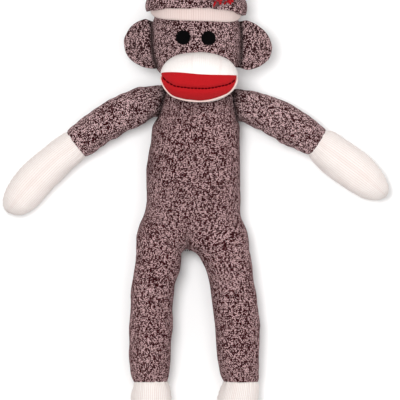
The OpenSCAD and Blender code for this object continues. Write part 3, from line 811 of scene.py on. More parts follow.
ARMZ = {}
for S in "LR":
    st = ARM_ST[S]
    s, C2 = resample(st, 1)
    step = 1.2
    t = np.linspace(0, s[-1], int(s[-1] / step))
    X, Y, W = curve(s, C2[:, 0], t), curve(s, C2[:, 1], t), curve(s, st[:, 2] * 0.55, t)
    zc = curve([0, 35, 75, 115, 131], [34, 33.2, 30.0, 27.4, 26.8], t)
    hz = W * curve([0, 12, 18, 24, 32, 44, 60, 90, s[-1]], [0.42, 0.42, 0.40, 0.52, 0.74, 0.90, 0.96, 0.98, 0.97], t)
    C = np.stack([X, Y, zc], -1)
    T, side, up = frames(C)
    # the seam column lies underneath, towards the body
    P = tube(C, -up, side, hz, W, NA, 2.2) if False else tube(C, side * (1 if S == "L" else -1), up, W, hz, NA, 2.2)
    N = outward(P, grid_normals(P, True))
    d = 0.9 * noise(P, 26, 41) + 0.7 * noise(P, 12, 42) + 0.35 * noise(P, 6.5, 43)
    ang = np.arange(NA) / NA * 2 * np.pi
    # puckers where the arm is sewn on
    g = np.exp(-np.abs(t - 22) / 8.0)
    d += (0.75 * np.sin(ang * 9 + 1.5 * np.sin(ang * 2 + 1)))[None, :] * g[:, None]
    # the underside is lumpy where the cloth is slack
    d += 1.5 * ss(0.1, -0.7, N[..., 1]) * noise(P, 9.0, 46) * (ss(16, 30, t) * ss(s[-1], s[-1] - 8, t))[:, None]
    # rounded shoulder at the wrist
    d += (-1.1 * ss(s[-1] - 2.6, s[-1], t))[:, None]
    P = P + N * d[..., None]
    P = floor_soft(P)
    N = outward(P, grid_normals(P, True))
    UV = np.stack(np.broadcast_arrays((np.linspace(0, WALES_A, NA + 1) * (1 if S == "L" else -1))[None, :], -t[:, None] / COURSE), -1)
    b = SIDE[S]
    sp = lambda p, q: float(np.argmin(np.linalg.norm(C[:, :2] - np.array(p[:2])[None], axis=1)))
    # cuts between the pieces
    i_sw = int(np.argmin(np.linalg.norm(C[:, :2] - np.array(SWI[S][:2]), axis=1)))
    i_el = int(np.argmin(np.linalg.norm(C[:, :2] - np.array(ELB[S][:2]), axis=1)))
    i_wr = int(np.argmin(np.linalg.norm(C[:, :2] - np.array(WRI[S][:2]), axis=1)))
    k = lambda mm: int(round(mm / (t[1] - t[0])))
    cuts = [0, i_sw - k(14), i_el - k(13), i_wr - k(9), len(t) - 1]

    def along(i, mm):
        c = C[i]
        return tuple(c + T[i] * mm)

    def blend_at(ob):
        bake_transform(ob)

    info = [("root", "torso", b + "_shoulder", SHO[S], None, 7.5, ("shoulder", "shoulder_stuffing")),
            ("upper", b + "_shoulder", b + "_upper_arm", SWI[S], i_sw, 13.0, ("upper_arm", "upper_arm_stuffing")),
            ("fore", b + "_upper_arm", b + "_forearm", ELB[S], i_el, 13.0, ("forearm", "forearm_stuffing")),
            ("cuff", b + "_forearm", b + "_hand", WRI[S], i_wr, 8.5, ("wrist",))]
    for q, (nm, ba, bb, hp, ii, h, reps) in enumerate(info):
        a0, a1 = cuts[q], cuts[q + 1]
        # painted shade in the shoulder crease on the root piece, and painted light over the outer arm
        ob = grid_piece(b + "_arm_" + nm, P[a0:a1 + 1], UV[a0:a1 + 1], wrap=True, mat=MARL2, normals=N[a0:a1 + 1], cap0=(q == 0), cap1=(q == 3), extra={"painted_shade": (crease_painted_shade(P[a0:a1 + 1]) if q == 0 else 0.0) - 0.055 * ss(58, 82, np.abs(P[a0:a1 + 1, :, 0]))})
        if ii is None:
            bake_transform(ob)
        else:
            blend_at(ob)
        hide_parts(*[b + "_" + r for r in reps])

    # ---- hand
    hs = HAND_ST[S]
    s2, H2 = resample(hs, 1)
    tt = np.linspace(0, 1, 96)
    t2 = s2[-1] * np.sin(tt * np.pi / 2) ** 0.85
    X, Y, W = curve(s2, H2[:, 0], t2), curve(s2, H2[:, 1], t2), curve(s2, hs[:, 2] * 0.55, t2)
    W[-1] = 0.3
    zc2 = curve([0, 25, 55, 98], [zc[-1], 24.6, 21.2, 20.4], t2)
    C3 = np.stack([X, Y, zc2], -1)
    T3, side3, up3 = frames(C3)
    hz2 = W * curve([0, 20, 60, 99], [0.97, 0.95, 0.96, 0.98], t2)
    P2 = tube(C3, side3 * (1 if S == "L" else -1), up3, W, hz2, NA, 2.2)
    N2 = outward(P2, grid_normals(P2, True))
    fade = ss(0, 5, t2) * ss(s2[-1], s2[-1] - 7, t2)
    d2 = (0.9 * noise(P2, 22, 51) + 0.5 * noise(P2, 11, 52) + 0.2 * noise(P2, 6, 53)) * fade[:, None]
    ad = np.minimum(ang, 2 * np.pi - ang)[None, :] * W[:, None]
    d2 += -1.2 * np.exp(-(ad / 1.6) ** 2) * fade[:, None]
    d2 += 0.3 * np.exp(-(ad / 7.0) ** 2) * np.sin(t2 * 1.2)[:, None] * fade[:, None]
    gat = np.exp(-t2 / 8.0)
    d2 += (0.5 * np.sin(ang * 15 + 2 * np.sin(ang * 3)))[None, :] * gat[:, None]
    d2 += (-0.5 * np.exp(-t2 / 1.5))[:, None]
    P2 = P2 + N2 * d2[..., None]
    P2 = floor_soft(P2, 0.4, 2.0)
    sv = arc_len(P2[:, NA // 2])
    UV2 = np.stack(np.broadcast_arrays(np.linspace(0, 54, NA + 1)[None, :], -sv[:, None] / 1.9), -1)
    ob = grid_piece(b + "_hand_cover", P2, UV2, wrap=True, mat=CREAM, cap1=True)
    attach(ob, b + "_hand")
    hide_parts(b + "_hand", b + "_hand_stuffing")

# ------------------------------------------------------------------ head
HX, HZ, HF = 4.4, 47.3, 0.87
hp_y = np.array([97.3, 97.8, 99.2, 102, 106, 111, 118, 127, 138, 150, 160, 170, 178, 185, 190, 193, 194.3])
hp_r = np.array([4, 12, 21, 28.5, 34.0, 38.2, 43.4, 47.6, 49.3, 49.5, 49.0, 46.6, 44.5, 39.5, 32, 20, 4])
NH = 260
WALES_H = 128
# rows follow the outline's length
ys_f = np.concatenate([np.linspace(97.3, 102, 40), np.linspace(102, 194.3, 400)[1:]])
rs_f = curve(hp_y, hp_r, ys_f)
sl = np.concatenate([[0], np.cumsum(np.hypot(np.diff(ys_f), np.diff(rs_f)))])
sh = np.linspace(0, sl[-1], 120)
Yh, Rh = np.interp(sh, sl, ys_f), np.interp(sh, sl, rs_f)
angh = np.arange(NH) / NH * 2 * np.pi - np.pi / 2  # starts at the back


def head_ring(Yv, Rv, ang, grow=0.0):
    c, s = superpoint(ang, 2.12)
    return np.stack([HX + (Rv[:, None] + grow) * c[None, :], np.broadcast_to(Yv[:, None], (len(Yv), len(ang))), HZ + (Rv[:, None] * HF + grow) * s[None, :]], -1)


P = head_ring(Yh, Rh, angh)
N = outward(P, grid_normals(P, True))
d = 1.0 * noise(P, 30, 61) + 0.5 * noise(P, 14, 62) + 0.2 * noise(P, 7, 63)
# gathers at the neck
g = ss(113, 98, Yh)
d += (1.3 * np.sin(angh * 13 + 1.5 * np.sin(angh * 3 + 1)) + 0.5 * np.sin(angh * 29))[None, :] * g[:, None] * ss(5, 20, Rh)[:, None]
P = P + N * d[..., None]
P = floor_soft(P, 3.8, 2.0)
UV = np.stack(np.broadcast_arrays(np.linspace(0, WALES_H, NH + 1)[None, :], sh[:, None] / COURSE), -1)
ear_fold = [[px(*p) for p in ((150.5, 19), (151.5, 30), (152, 45), (154, 58), (157, 68))], [px(*p) for p in ((240.5, 19), (241.5, 30), (242, 45), (241.5, 58), (240, 69))]]
# painted shade along the creases where the ears meet the head and over the head's left side, with a little painted
# light on its right side
head_painted_shade = 0.85 * np.maximum(*(np.exp(-(seg_dist(P, c) / 2.3) ** 2) for c in ear_fold)) * ss(60, 45, np.abs(P[..., 2] - 50))
head = grid_piece("head", P, UV, wrap=True, mat=MARLH, cap0=True, cap1=True, extra={"painted_shade": head_painted_shade + 0.13 - 0.15 * ss(-10, 44, P[..., 0])})
HEADP, HEADN = P, N


def head_z(x, y):
    """height of the face above the spot x, y"""
    r = curve(hp_y, hp_r, y)
    u = np.clip(np.abs(np.asarray(x, float) - HX) / np.maximum(r, 1e-6), 0, 1)
    return HZ + HF * r * (1 - u**2.12) ** (1 / 2.12)


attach(head, "head")
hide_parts("head_cover", "head_stuffing")

# neck: a short gathered tube with the thread pulled tight round it
NN = 120
yn = np.linspace(84, 103, 22)
rn = curve([84, 88, 93, 98, 103], [20.5, 19.0, 16.6, 19.0, 20.5], yn)
an = np.arange(NN) / NN * 2 * np.pi
fold = 1.1 * np.sin(an * 14 + np.sin(an * 3)) + 0.4 * np.sin(an * 31)
rr = rn[:, None] + fold[None, :] * (0.5 + 0.5 * np.abs(yn - 93)[:, None] / 9)
zn = curve([84, 88, 91, 93, 98, 103], [30.0, 34.2, 37.8, 39.2, 40, 40], yn)
P = np.stack([4.4 + rr * np.cos(an)[None], np.broadcast_to(yn[:, None], rr.shape), zn[:, None] + rr * np.sin(an)[None]], -1)
UV = np.stack(np.broadcast_arrays(np.linspace(0, 46, NN + 1)[None, :], yn[:, None] / COURSE), -1)
neck = grid_piece("neck", P, UV, wrap=True, mat=MARLH, cap0=True, cap1=True)
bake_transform(neck)
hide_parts("neck_stuffing", "neck_gathering_thread")


def strand(points, r, n=6, u0=0.0, taper=True, blunt=False):
    """points and faces of one thread along a line, with U along it and V round it"""
    C = np.asarray(points, float)
    T = unit(np.gradient(C, axis=0))
    ref = np.array([0, 0, 1.0]) if abs(T[:, 2]).mean() < 0.9 else np.array([1.0, 0, 0])
    side = unit(np.cross(T, ref[None]))
    up = np.cross(side, T)
    m = len(C)
    rad = np.full(m, float(r)) if np.isscalar(r) else np.asarray(r, float)
    if blunt:
        rad = rad * np.where(np.arange(m) == m - 1, 0.72, 1.0)
    elif taper:
        rad = rad * np.clip(np.minimum(np.arange(m) + 0.35, m - 0.65 - np.arange(m)) / 0.9, 0.15, 1)
    a = np.arange(n) / n * 2 * np.pi
    V = C[:, None] + rad[:, None, None] * (np.cos(a)[None, :, None] * side[:, None] + np.sin(a)[None, :, None] * up[:, None])
    s = arc_len(C)
    faces, uv = [], []
    for i in range(m - 1):
        for j in range(n):
            jn = (j + 1) % n
            faces.append([i * n + j, i * n + jn, (i + 1) * n + jn, (i + 1) * n + j])
            uv += [(s[i] + u0, j / n), (s[i] + u0, (j + 1) / n), (s[i + 1] + u0, (j + 1) / n), (s[i + 1] + u0, j / n)]
    faces.append(list(range(n))[::-1])
    uv += [(u0, 0)] * n
    faces.append([(m - 1) * n + j for j in range(n)])
    uv += [(s[-1] + u0, 0)] * n
    return V.reshape(-1, 3), faces, uv


def bundle(name, strands, mat, ids=None, mats=None):
    verts, faces, uvs, mi, base = [], [], [], [], 0
    for k, (v, f, u) in enumerate(strands):
        verts.append(v)
        faces += [[base + c for c in q] for q in f]
        uvs += u
        mi += [0 if ids is None else int(ids[k])] * len(f)
        base += len(v)
    ob = make_mesh(name, np.vstack(verts), faces, uvs, None, mat)
    if mats:
        for m_ in mats:
            ob.data.materials.append(m_)
        ob.data.polygons.foreach_set("material_index", mi)
    return ob


# gathering thread round the neck
tt = np.linspace(0, 2 * np.pi, 90)
ring = [strand(np.stack([4.4 + (16.9 + 0.25 * np.sin(tt * 14 + q)) * np.cos(tt), 93 + dy + 0.3 * np.sin(tt * 3 + q), 39.2 + (16.9 + 0.25 * np.sin(tt * 14 + q)) * np.sin(tt)], -1), 0.5, 6, taper=False) for q, dy in ((0, -0.5), (2, 0.55))]
nth = bundle("neck_thread", ring, DARKTH)
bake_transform(nth)

# ------------------------------------------------------------------ muzzle
mx0, my0 = px(199.0, 77.7)
MW, MH = 42.4, 27.6
MZ, MD = 82.0, 34.5
TILT = math.radians(-1.2)
NEXP = 2.3


def muz_xy(u, v):
    """plan place for unit-disc coordinates"""
    return mx0 + (u * MW) * math.cos(TILT) - (v * MH) * math.sin(TILT), my0 + (u * MW) * math.sin(TILT) + (v * MH) * math.cos(TILT)


def muz_unit(x, y):
    dx, dy = x - mx0, y - my0
    return (dx * math.cos(TILT) + dy * math.sin(TILT)) / MW, (-dx * math.sin(TILT) + dy * math.cos(TILT)) / MH


NM = 220
am = np.arange(NM) / NM * 2 * np.pi
rows_m = 70
psi = np.linspace(-0.50, np.pi / 2 - 0.012, rows_m)
cp, sp_ = superpoint(psi, NEXP)
# below that the rim turns under and is drawn in where it is sewn to the face
trn = np.linspace(0, 1, 15)[1:]
cp = np.concatenate([(cp[0] - 0.11 * (1 - np.cos(trn * np.pi / 2)) - 0.25 * ss(0.7, 1, trn))[::-1], cp])
sp_ = np.concatenate([(sp_[0] - 0.17 * np.sin(trn * np.pi / 2))[::-1], sp_])
ca, sa = superpoint(am, 2.12)
U_, V_ = cp[:, None] * ca[None, :], cp[:, None] * sa[None, :]
X, Y = muz_xy(U_, V_)
Z = MZ + MD * sp_[:, None] * np.ones_like(X)
# the rim runs a little higher under the chin, clear of the chest
Z = Z + 5.0 * ss(0.25, -0.8, V_) * ss(MZ - 8, MZ - 21, Z)
P = np.stack([X, Y, Z], -1)
N = outward(P, grid_normals(P, True))


def mouth_line(x):
    """plan y (in squares) of the stitched mouth line at plan x (in squares)"""
    return curve([158, 161.5, 164.2, 168.3, 175, 180, 188.3, 198.3, 205, 213.3, 221.7, 228.3, 232.5, 235.8, 238], [75.2, 76.6, 79.3, 83.2, 86.7, 88.1, 89.2, 89.8, 89.8, 89.0, 87.2, 85.1, 82.6, 79.0, 76.5], x)


def dent(Pm):
    """the stitched line pulls the filling in a little"""
    xs, yl = Pm[..., 0] / 1.1 + 192, 175 - Pm[..., 1] / 1.1
    dd = (yl - mouth_line(xs)) * 1.1
    top = ss(MZ - 4, MZ + 12, Pm[..., 2])
    return -1.5 * np.exp(-(dd / 2.6) ** 2) * top


dm = 0.8 * noise(P, 24, 71) + 0.3 * noise(P, 10, 72)
dm = dm * ss(MZ - 12, MZ + 6, P[..., 2]) + dent(P)
# small gathers where the rim is drawn in
dm = dm + 0.55 * np.sin(am * 46 + 1.5 * np.sin(am * 5))[None] * ss(MZ - 11, MZ - 17, P[..., 2])
P = P + N * dm[..., None]
# ribs run up the snout and down its sides; distances are measured from the top along the cloth
sm = np.cumsum(np.linalg.norm(np.diff(P[::-1], axis=0), axis=-1), axis=0)
sm = np.concatenate([np.zeros((1, NM)), sm], 0)[::-1]
k_in = np.hypot(P[-1, :, 0] - mx0, P[-1, :, 1] - my0)[None]
sm = sm + k_in
um, vm = sm * np.cos(am)[None], sm * np.sin(am)[None]
UV = np.stack([np.concatenate([um, um[:, :1]], 1) / 1.7, np.concatenate([vm, vm[:, :1]], 1) / 1.7], -1)
muz = grid_piece("muzzle", P, UV, wrap=True, mat=CREAMF, cap0=True, cap1=True)
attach(muz, "head")
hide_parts("muzzle_cover", "muzzle_stuffing")


def muz_point(x, y, lift=0.0):
    """a place on the snout's surface above plan x, y, raised by lift"""
    u, v = muz_unit(x, y)
    r = np.hypot(u, v)
    a = np.arctan2(v, u)
    c_, s_ = superpoint(a, 2.12)
    rmax = np.hypot(c_, s_)
    q = np.clip(r / rmax, 0, 0.9995)
    z = MZ + MD * (1 - q**NEXP) ** (1 / NEXP)
    # normal of the form
    nx = np.sign(u) * np.abs(u) ** (NEXP - 1) / MW
    ny = np.sign(v) * np.abs(v) ** (NEXP - 1) / MH
    nz = ((z - MZ) / MD) ** (NEXP - 1) / MD
    n = unit(np.stack([nx, ny, nz], -1))
    p = np.stack(np.broadcast_arrays(x, y, z), -1)
    ex = 0.8 * noise(p, 24, 71) + 0.3 * noise(p, 10, 72)
    ex = ex * ss(MZ - 12, MZ + 6, z) + dent(p)
    return p + n * (ex + lift)[..., None], n


# lips: the red patch, from its top edge to its lower edge
lu = np.linspace(0, 1, 190)
lv = np.linspace(0, 1, 60)
lx = 161.1 + (236.9 - 161.1) * (0.5 - 0.5 * np.cos(lu * np.pi)) ** 0.96
ltop = curve([161.1, 163, 166, 172, 180, 190, 200, 212, 224, 232, 235.5, 236.9], [74.4, 73.7, 73.3, 73.2, 73.5, 74.4, 75.3, 75.8, 76.0, 76.1, 76.2, 76.7], lx)
lbot = curve([161.1, 161.9, 163.4, 166.2, 171.7, 175.5, 180, 188.3, 198.3, 206.7, 215, 221.7, 227.5, 231.7, 235, 236.3, 236.9], [76.4, 79.6, 83.6, 88.6, 94.4, 96.6, 98.3, 100.4, 101.2, 100.8, 99.1, 96.6, 93.1, 88.5, 82.7, 79.3, 77.6], lx)
LX = np.broadcast_to(lx[None, :], (len(lv), len(lx)))
LY = ltop[None, :] + (lbot - ltop)[None, :] * lv[:, None]
wx, wy = px(LX, LY)
dtop = (LY - ltop[None, :]) * 1.1
dbot = (lbot[None, :] - LY) * 1.1
dside = np.minimum(LX - 161.1, 236.9 - LX) * 1.1
edge = np.minimum(np.minimum(dtop, dbot), dside + 0.0)
lift = 1.25 * np.sqrt(np.clip(1 - (1 - np.clip(edge / 1.4, 0, 1)) ** 2, 0, 1)) - 0.25
P, Nl = muz_point(wx, wy, lift)
UV = np.stack([LX * 1.1 / 1.9, -np.broadcast_to(lv[:, None] * 13.0, LX.shape)], -1)
lips = grid_piece("lips", P, UV, wrap=False, mat=RED, out=(0, 0, 1))
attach(lips, "head")
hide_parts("lips")

# the folded cream edge sewn round the lower lip
bx_, by_ = lx[::2], lbot[::2]
tx_, ty_ = np.gradient(bx_), np.gradient(by_)
tl = np.hypot(tx_, ty_)
ox_, oy_ = bx_ - ty_ / tl * 0.5, by_ + tx_ / tl * 0.5
wx_, wy_ = px(ox_, oy_)
tuck = np.clip(np.minimum(np.arange(len(bx_)), len(bx_) - 1 - np.arange(len(bx_))) / 5.0, 0, 1)
pp, pn = muz_point(wx_, wy_, 0.45 - 1.5 * (1 - tuck) ** 2)
ang_p = np.arange(12) / 12 * 2 * np.pi
tg = unit(np.gradient(pp, axis=0))
sd = unit(np.cross(tg, np.array([0, 0, 1.0])))
ud = np.cross(sd, tg)
rad = 0.82 * np.clip(tuck + 0.25, 0, 1) + 0.04 * np.sin(arc_len(pp) * 2.1)
PP = pp[:, None] + rad[:, None, None] * (np.cos(ang_p)[None, :, None] * sd[:, None] + np.sin(ang_p)[None, :, None] * ud[:, None])
UV = np.stack(np.broadcast_arrays(arc_len(pp)[:, None] / 1.7, np.linspace(0, 4, 13)[None, :]), -1)
pip = grid_piece("lip_edge", PP, UV, wrap=True, mat=CREAMP, cap0=True, cap1=True)
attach(pip, "head")

# running stitch along the mouth
ms = []
x = 163.2
while x < 232.5:
    L_ = 2.7 + 0.5 * rng.random()
    q = np.linspace(0, 1, 7)
    xs = x + L_ * q
    ym = mouth_line(xs) + 0.12 * rng.standard_normal()
    wx_, wy_ = px(xs, ym)
    pt, _n = muz_point(wx_, wy_, 1.15 + 0.85 * np.sin(q * np.pi) ** 0.6 - 0.55)
    ms.append(strand(pt, 0.78, 8))
    x += L_ + 0.5
mst = bundle("mouth_stitches", ms, MAROON)
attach(mst, "head")
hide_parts("mouth_stitches")

# ------------------------------------------------------------------ eyes: flat satin stitches side by side
for nm, ex_, ey_, tilt in (("left_eye", 183.2, 38.5, 0.25), ("right_eye", 208.5, 39.3, -0.18)):
    cx, cy = px(ex_, ey_)
    R = 7.25
    st = []
    for k, o in enumerate(np.linspace(-R + 0.45, R - 0.45, 17)):
        half_l = math.sqrt(max(R * R - o * o, 0.6)) + 0.25 * rng.standard_normal() * 0.5
        q = np.linspace(-1, 1, 9)
        a = q * half_l
        xs = cx + a * math.cos(tilt + 1.45) - o * math.sin(tilt + 1.45)
        yy = cy + a * math.sin(tilt + 1.45) + o * math.cos(tilt + 1.45)
        dome = np.sqrt(np.clip(1 - (np.hypot(a, o) / (R + 0.35)) ** 2, 0, 1))
        z = head_z(xs, yy) + 0.55 + 1.5 * dome
        z[0] -= 1.0
        z[-1] -= 1.0
        st.append(strand(np.stack([xs, yy, z], -1), 0.62, 7))
    # a ring of small stitches holds the edge
    for k in range(26):
        a0 = k / 26 * 2 * math.pi
        q = np.linspace(0, 1, 4)
        a = a0 + q * 0.27
        xs, yy = cx + (R + 0.15) * np.cos(a), cy + (R + 0.15) * np.sin(a)
        st.append(strand(np.stack([xs, yy, head_z(xs, yy) + 0.5 + 0.35 * np.sin(q * np.pi)], -1), 0.5, 6))
    # the filled base under the stitches
    rr_, aa_ = np.meshgrid(np.linspace(0, R, 8), np.linspace(0, 2 * np.pi, 25), indexing="ij")
    bx, by = cx + rr_ * np.cos(aa_), cy + rr_ * np.sin(aa_)
    bz = head_z(bx, by) + 0.4 + 1.2 * np.sqrt(np.clip(1 - (rr_ / (R + 0.3)) ** 2, 0, 1))
    bv = np.stack([bx, by, bz], -1)
    bf, bu = [], []
    for i in range(7):
        for j in range(24):
            bf.append([i * 25 + j, (i + 1) * 25 + j, (i + 1) * 25 + j + 1, i * 25 + j + 1])
            bu += [(0, 0)] * 4
    st.append((bv.reshape(-1, 3), bf, bu))
    e = bundle(nm + "_embroidery", st, BLACK)
    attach(e, "head")
    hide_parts(nm)

# ------------------------------------------------------------------ ears
EAR = {
    "L": (np.array([[148.5, 22.5], [146, 19.3], [140, 21.0], [132, 26], [127, 33], [124, 41], [125, 50], [129, 58], [137, 64.3], [147, 68.3], [155, 69.0], [157, 66]]),
          np.array([[149.5, 21.5], [151.2, 30], [152.0, 40], [153.0, 50], [155.0, 59], [157.0, 66.5]])),
    "R": (np.array([[242.5, 22.0], [246, 20.6], [250, 21.8], [258, 26], [266, 33], [270, 40], [272, 48], [270, 57], [265, 63], [256, 68.3], [247, 70.2], [241.5, 68]]),
          np.array([[241.5, 21.5], [241.8, 30], [242.0, 40], [242.0, 50], [241.5, 59], [240.0, 67.5]])),
}
for S in "LR":
    out_, root_ = EAR[S]
    nq, nr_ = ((90, 44))
    so = np.concatenate([[0], np.cumsum(np.hypot(*np.diff(out_, axis=0).T))])
    sr = np.concatenate([[0], np.cumsum(np.hypot(*np.diff(root_, axis=0).T))])
    q = np.linspace(0, 1, nq)
    ox, oy = curve(so, out_[:, 0], q * so[-1]), curve(so, out_[:, 1], q * so[-1])
    rx, ry = curve(sr, root_[:, 0], q * sr[-1]), curve(sr, root_[:, 1], q * sr[-1])
    # the root goes a little into the head
    rx = rx + (6.5 if S == "L" else -6.5)
    w = np.linspace(0, 1, nr_)
    GX = rx[None] + (ox - rx)[None] * w[:, None]
    GY = ry[None] + (oy - ry)[None] * w[:, None]
    X, Y = px(GX, GY)
    # distance from the outer rim, for the rounded edge
    rim = (1 - w)[:, None] * np.hypot(ox - rx, oy - ry)[None] * 1.1
    ends = np.minimum(q, 1 - q)[None, :] * so[-1] * 1.1 * 0.8 + 0 * rim
    ed = np.minimum(rim, ends + 0.0)
    th = 4.6 * np.sqrt(np.clip(1 - (1 - np.clip(ed / 6.5, 0, 1)) ** 2, 0, 1))
    # a padded rim with a hollow inside it, curling forward at the edge
    hollow = ss(7, 16, rim) * ss(0.0, 0.22, w)[:, None] * ss(0.02, 0.2, np.minimum(q, 1 - q))[None, :]
    zc = 46.0 + 5.0 * ss(14, 0, rim) * ss(0.3, 1, w)[:, None]
    base = np.stack([X, Y, zc + 0 * X], -1)
    bumpn = 0.7 * noise(base, 18, 81) + 0.3 * noise(base, 8, 82)
    top = base + np.array([0, 0, 1.0]) * (th * (1 - 0.42 * hollow) + bumpn * ss(0, 3, ed))[..., None]
    top[..., 2] -= 2.4 * hollow
    bot = base - np.array([0, 0, 1.0]) * (th * 0.95 + 0.4 * bumpn * ss(0, 3, ed))[..., None]
    if S == "L":
        top, bot = top, bot
    full = np.concatenate([top, bot[::-1][1:]], 0)
    # rows: root to rim on the front, then back to the root behind
    # the pattern spreads from the middle of the ear, and follows the cloth over the rounded edge
    sx = -1 if S == "L" else 1
    ecx, ecy = px(*((139, 45) if S == "L" else (257, 46)))
    fi = np.linspace(0, np.pi / 2, 60)
    e_, arc = 6.5 * (1 - np.cos(fi)), np.concatenate([[0], np.cumsum(np.hypot(np.diff(6.5 * np.cos(fi)), np.diff(4.6 * np.sin(fi))))])
    edf = np.clip(np.concatenate([ed, ed[::-1][1:]], 0), 0, 6.5)
    over = arc[-1] - np.interp(edf, e_, arc) - (6.5 - edf)
    ex_, ey_ = full[..., 0] - ecx, full[..., 1] - ecy
    kk = 1 + over / np.maximum(np.hypot(ex_, ey_), 1.0)
    UVf = np.stack([sx * ex_ * kk / 2.25, ey_ * kk / 1.9], -1)
    # painted shade at the ear's root along the crease with the head, and a little over the whole ear
    ear_painted_shade = 0.85 * np.exp(-(seg_dist(full, ear_fold[0 if S == "L" else 1]) / 2.6) ** 2)
    ob = grid_piece(SIDE[S] + "_ear_pad", full, UVf, wrap=False, mat=MARLH, extra={"painted_shade": ear_painted_shade + 0.03})
    # the back is a second piece of cloth, joined at the rim
    lay = ob.data.uv_layers[0].data
    fl = np.zeros(len(lay) * 2, dtype=np.float32)
    lay.foreach_get("uv", fl)
    fl = fl.reshape(-1, 2)
    fl[4 * (nr_ - 1) * (nq - 1):] += np.array([37.0, 23.0], dtype=np.float32)
    lay.foreach_set("uv", fl.ravel())
    fix_normals(ob)
    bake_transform(ob)
    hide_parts(SIDE[S] + "_ear")

# ------------------------------------------------------------------ hat
NB = 300
ab = np.arange(NB) / NB * 2 * np.pi - np.pi / 2
cb, sb = superpoint(ab, 2.12)
front = np.clip(np.sin(ab), 0, 1)
xpx = 196 + 45 * cb
p_low = curve([151, 153, 160, 170, 180, 200, 220, 232, 238, 241], [14.5, 17.0, 18.9, 19.8, 20.3, 21.0, 22.0, 22.4, 21.0, 17.6], xpx)
side_low = 16.0 + 1.5 * cb
p_low = np.where(np.sin(ab) >= 0, p_low, side_low)
p_low = np.convolve(np.concatenate([p_low[-6:], p_low, p_low[:6]]), np.ones(9) / 9, "same")[6:-6]
ylow = (175 - p_low - 1.2 * front) * 1.1
prof = np.array([[-3.0, 0.2], [-1.2, 0.0], [0.2, 1.2], [0.8, 3.5], [1.0, 7.0], [0.6, 11.0], [-0.4, 14.0], [-2.0, 16.5]])
q = np.linspace(0, 1, 26)
pr = np.stack([np.interp(q, np.linspace(0, 1, len(prof)), prof[:, 0]), np.interp(q, np.linspace(0, 1, len(prof)), prof[:, 1])], -1)
Yb = ylow[None] + pr[:, 1:2]
Rb = 49.2 + pr[:, 0:1] + 0 * Yb
P = np.stack([HX + Rb * cb[None], Yb, HZ + (Rb - 49.4 + 49.4 * HF) * sb[None]], -1)
N = outward(P, grid_normals(P, True))
P = P + N * (0.35 * noise(P, 14, 91) + 0.16 * np.cos(ab * 110)[None, :] * ss(0, 2, pr[:, 1:2]))[..., None]
P = floor_soft(P, 0.3, 1.5)
UV = np.stack(np.broadcast_arrays(np.linspace(0, 120, NB + 1)[None, :], pr[:, 1:2] / 1.9), -1)
band = grid_piece("hat_band", P, UV, wrap=True, mat=CREAMB)
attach(band, "head")
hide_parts("hat_band")

# crown: overhangs the band, gathers to the top
xpx = 196.5 + 51 * cb
p_edge = curve([145.7, 150, 155, 170, 190, 210, 225, 235, 243, 247.5], [11.2, 11.0, 10.0, 8.7, 8.5, 8.6, 9.6, 11.8, 14.6, 15.2], xpx)
side_e = 13.2 + 2.0 * cb
p_edge = np.where(np.sin(ab) >= 0, p_edge, side_e)
p_edge = np.convolve(np.concatenate([p_edge[-6:], p_edge, p_edge[:6]]), np.ones(9) / 9, "same")[6:-6]
edge_y = (175 - p_edge - 1.3 * front) * 1.1 + 0.4 * np.sin(ab * 9 + 1) + 0.25 * np.sin(ab * 21)
qc = np.linspace(0, 1, 90)
cr = np.array([[0.0, -5.0], [0.035, -3.6], [0.075, -0.9], [0.12, 0.0], [0.22, 0.9], [0.34, -0.2], [0.48, -5.0], [0.62, -13.0], [0.76, -25.0], [0.9, -41.0], [1.0, -54.0]])
ch = np.array([[0.0, 2.2], [0.035, 0.4], [0.075, 0.1], [0.12, 1.2], [0.22, 5.2], [0.34, 10.2], [0.48, 15.4], [0.62, 19.4], [0.76, 22.2], [0.9, 23.2], [1.0, 22.0]])
Rc = 55.0 + curve(cr[:, 0], cr[:, 1], qc)
Hc = curve(ch[:, 0], ch[:, 1], qc)
frac = np.clip(Hc / 22.0, 0, 1)[:, None]
Yc = edge_y[None] * (1 - frac) + 183.0 * frac + Hc[:, None]
Rc2 = Rc[:, None] + 0 * Yc
gat = ss(0.45, 0.95, qc)[:, None]
ph_c = ab * 9 + 1.3 * np.sin(ab * 3 + 0.6)
valley = (1 - np.abs(np.sin(ph_c))) ** 2.2
Rc2 = Rc2 + gat * (0.6 * np.sin(ab * 23))[None] * ss(1, 12, Rc)[:, None]
Yc = Yc - (ss(0.5, 0.88, qc) * ss(-1.0, 6.0, Rc))[:, None] * (3.4 * valley - 0.9 + 0.5 * np.sin(ab * 23))[None]
P = np.stack([HX + Rc2 * cb[None], Yc, HZ + np.maximum(Rc2 - 6.0 * np.clip(Rc2 / 55, 0, 1), 0.2) * (0.985) * sb[None] * 0.975], -1)
N = outward(P, grid_normals(P, True))
P = P + N * (0.9 * noise(P, 20, 95) + 0.4 * noise(P, 9, 96))[..., None] * ss(0.03, 0.1, qc)[:, None, None]
P = floor_soft(P, 0.3, 1.5)
sc = np.concatenate([[0], np.cumsum(np.hypot(np.diff(Rc), np.diff(Hc)))])
UV = np.stack(np.broadcast_arrays(np.linspace(0, 146, NB + 1)[None, :], sc[:, None] / COURSE), -1)
crown = grid_piece("hat_crown", P, UV, wrap=True, mat=MARLH, cap1=True)
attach(crown, "head")
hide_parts("hat_crown")

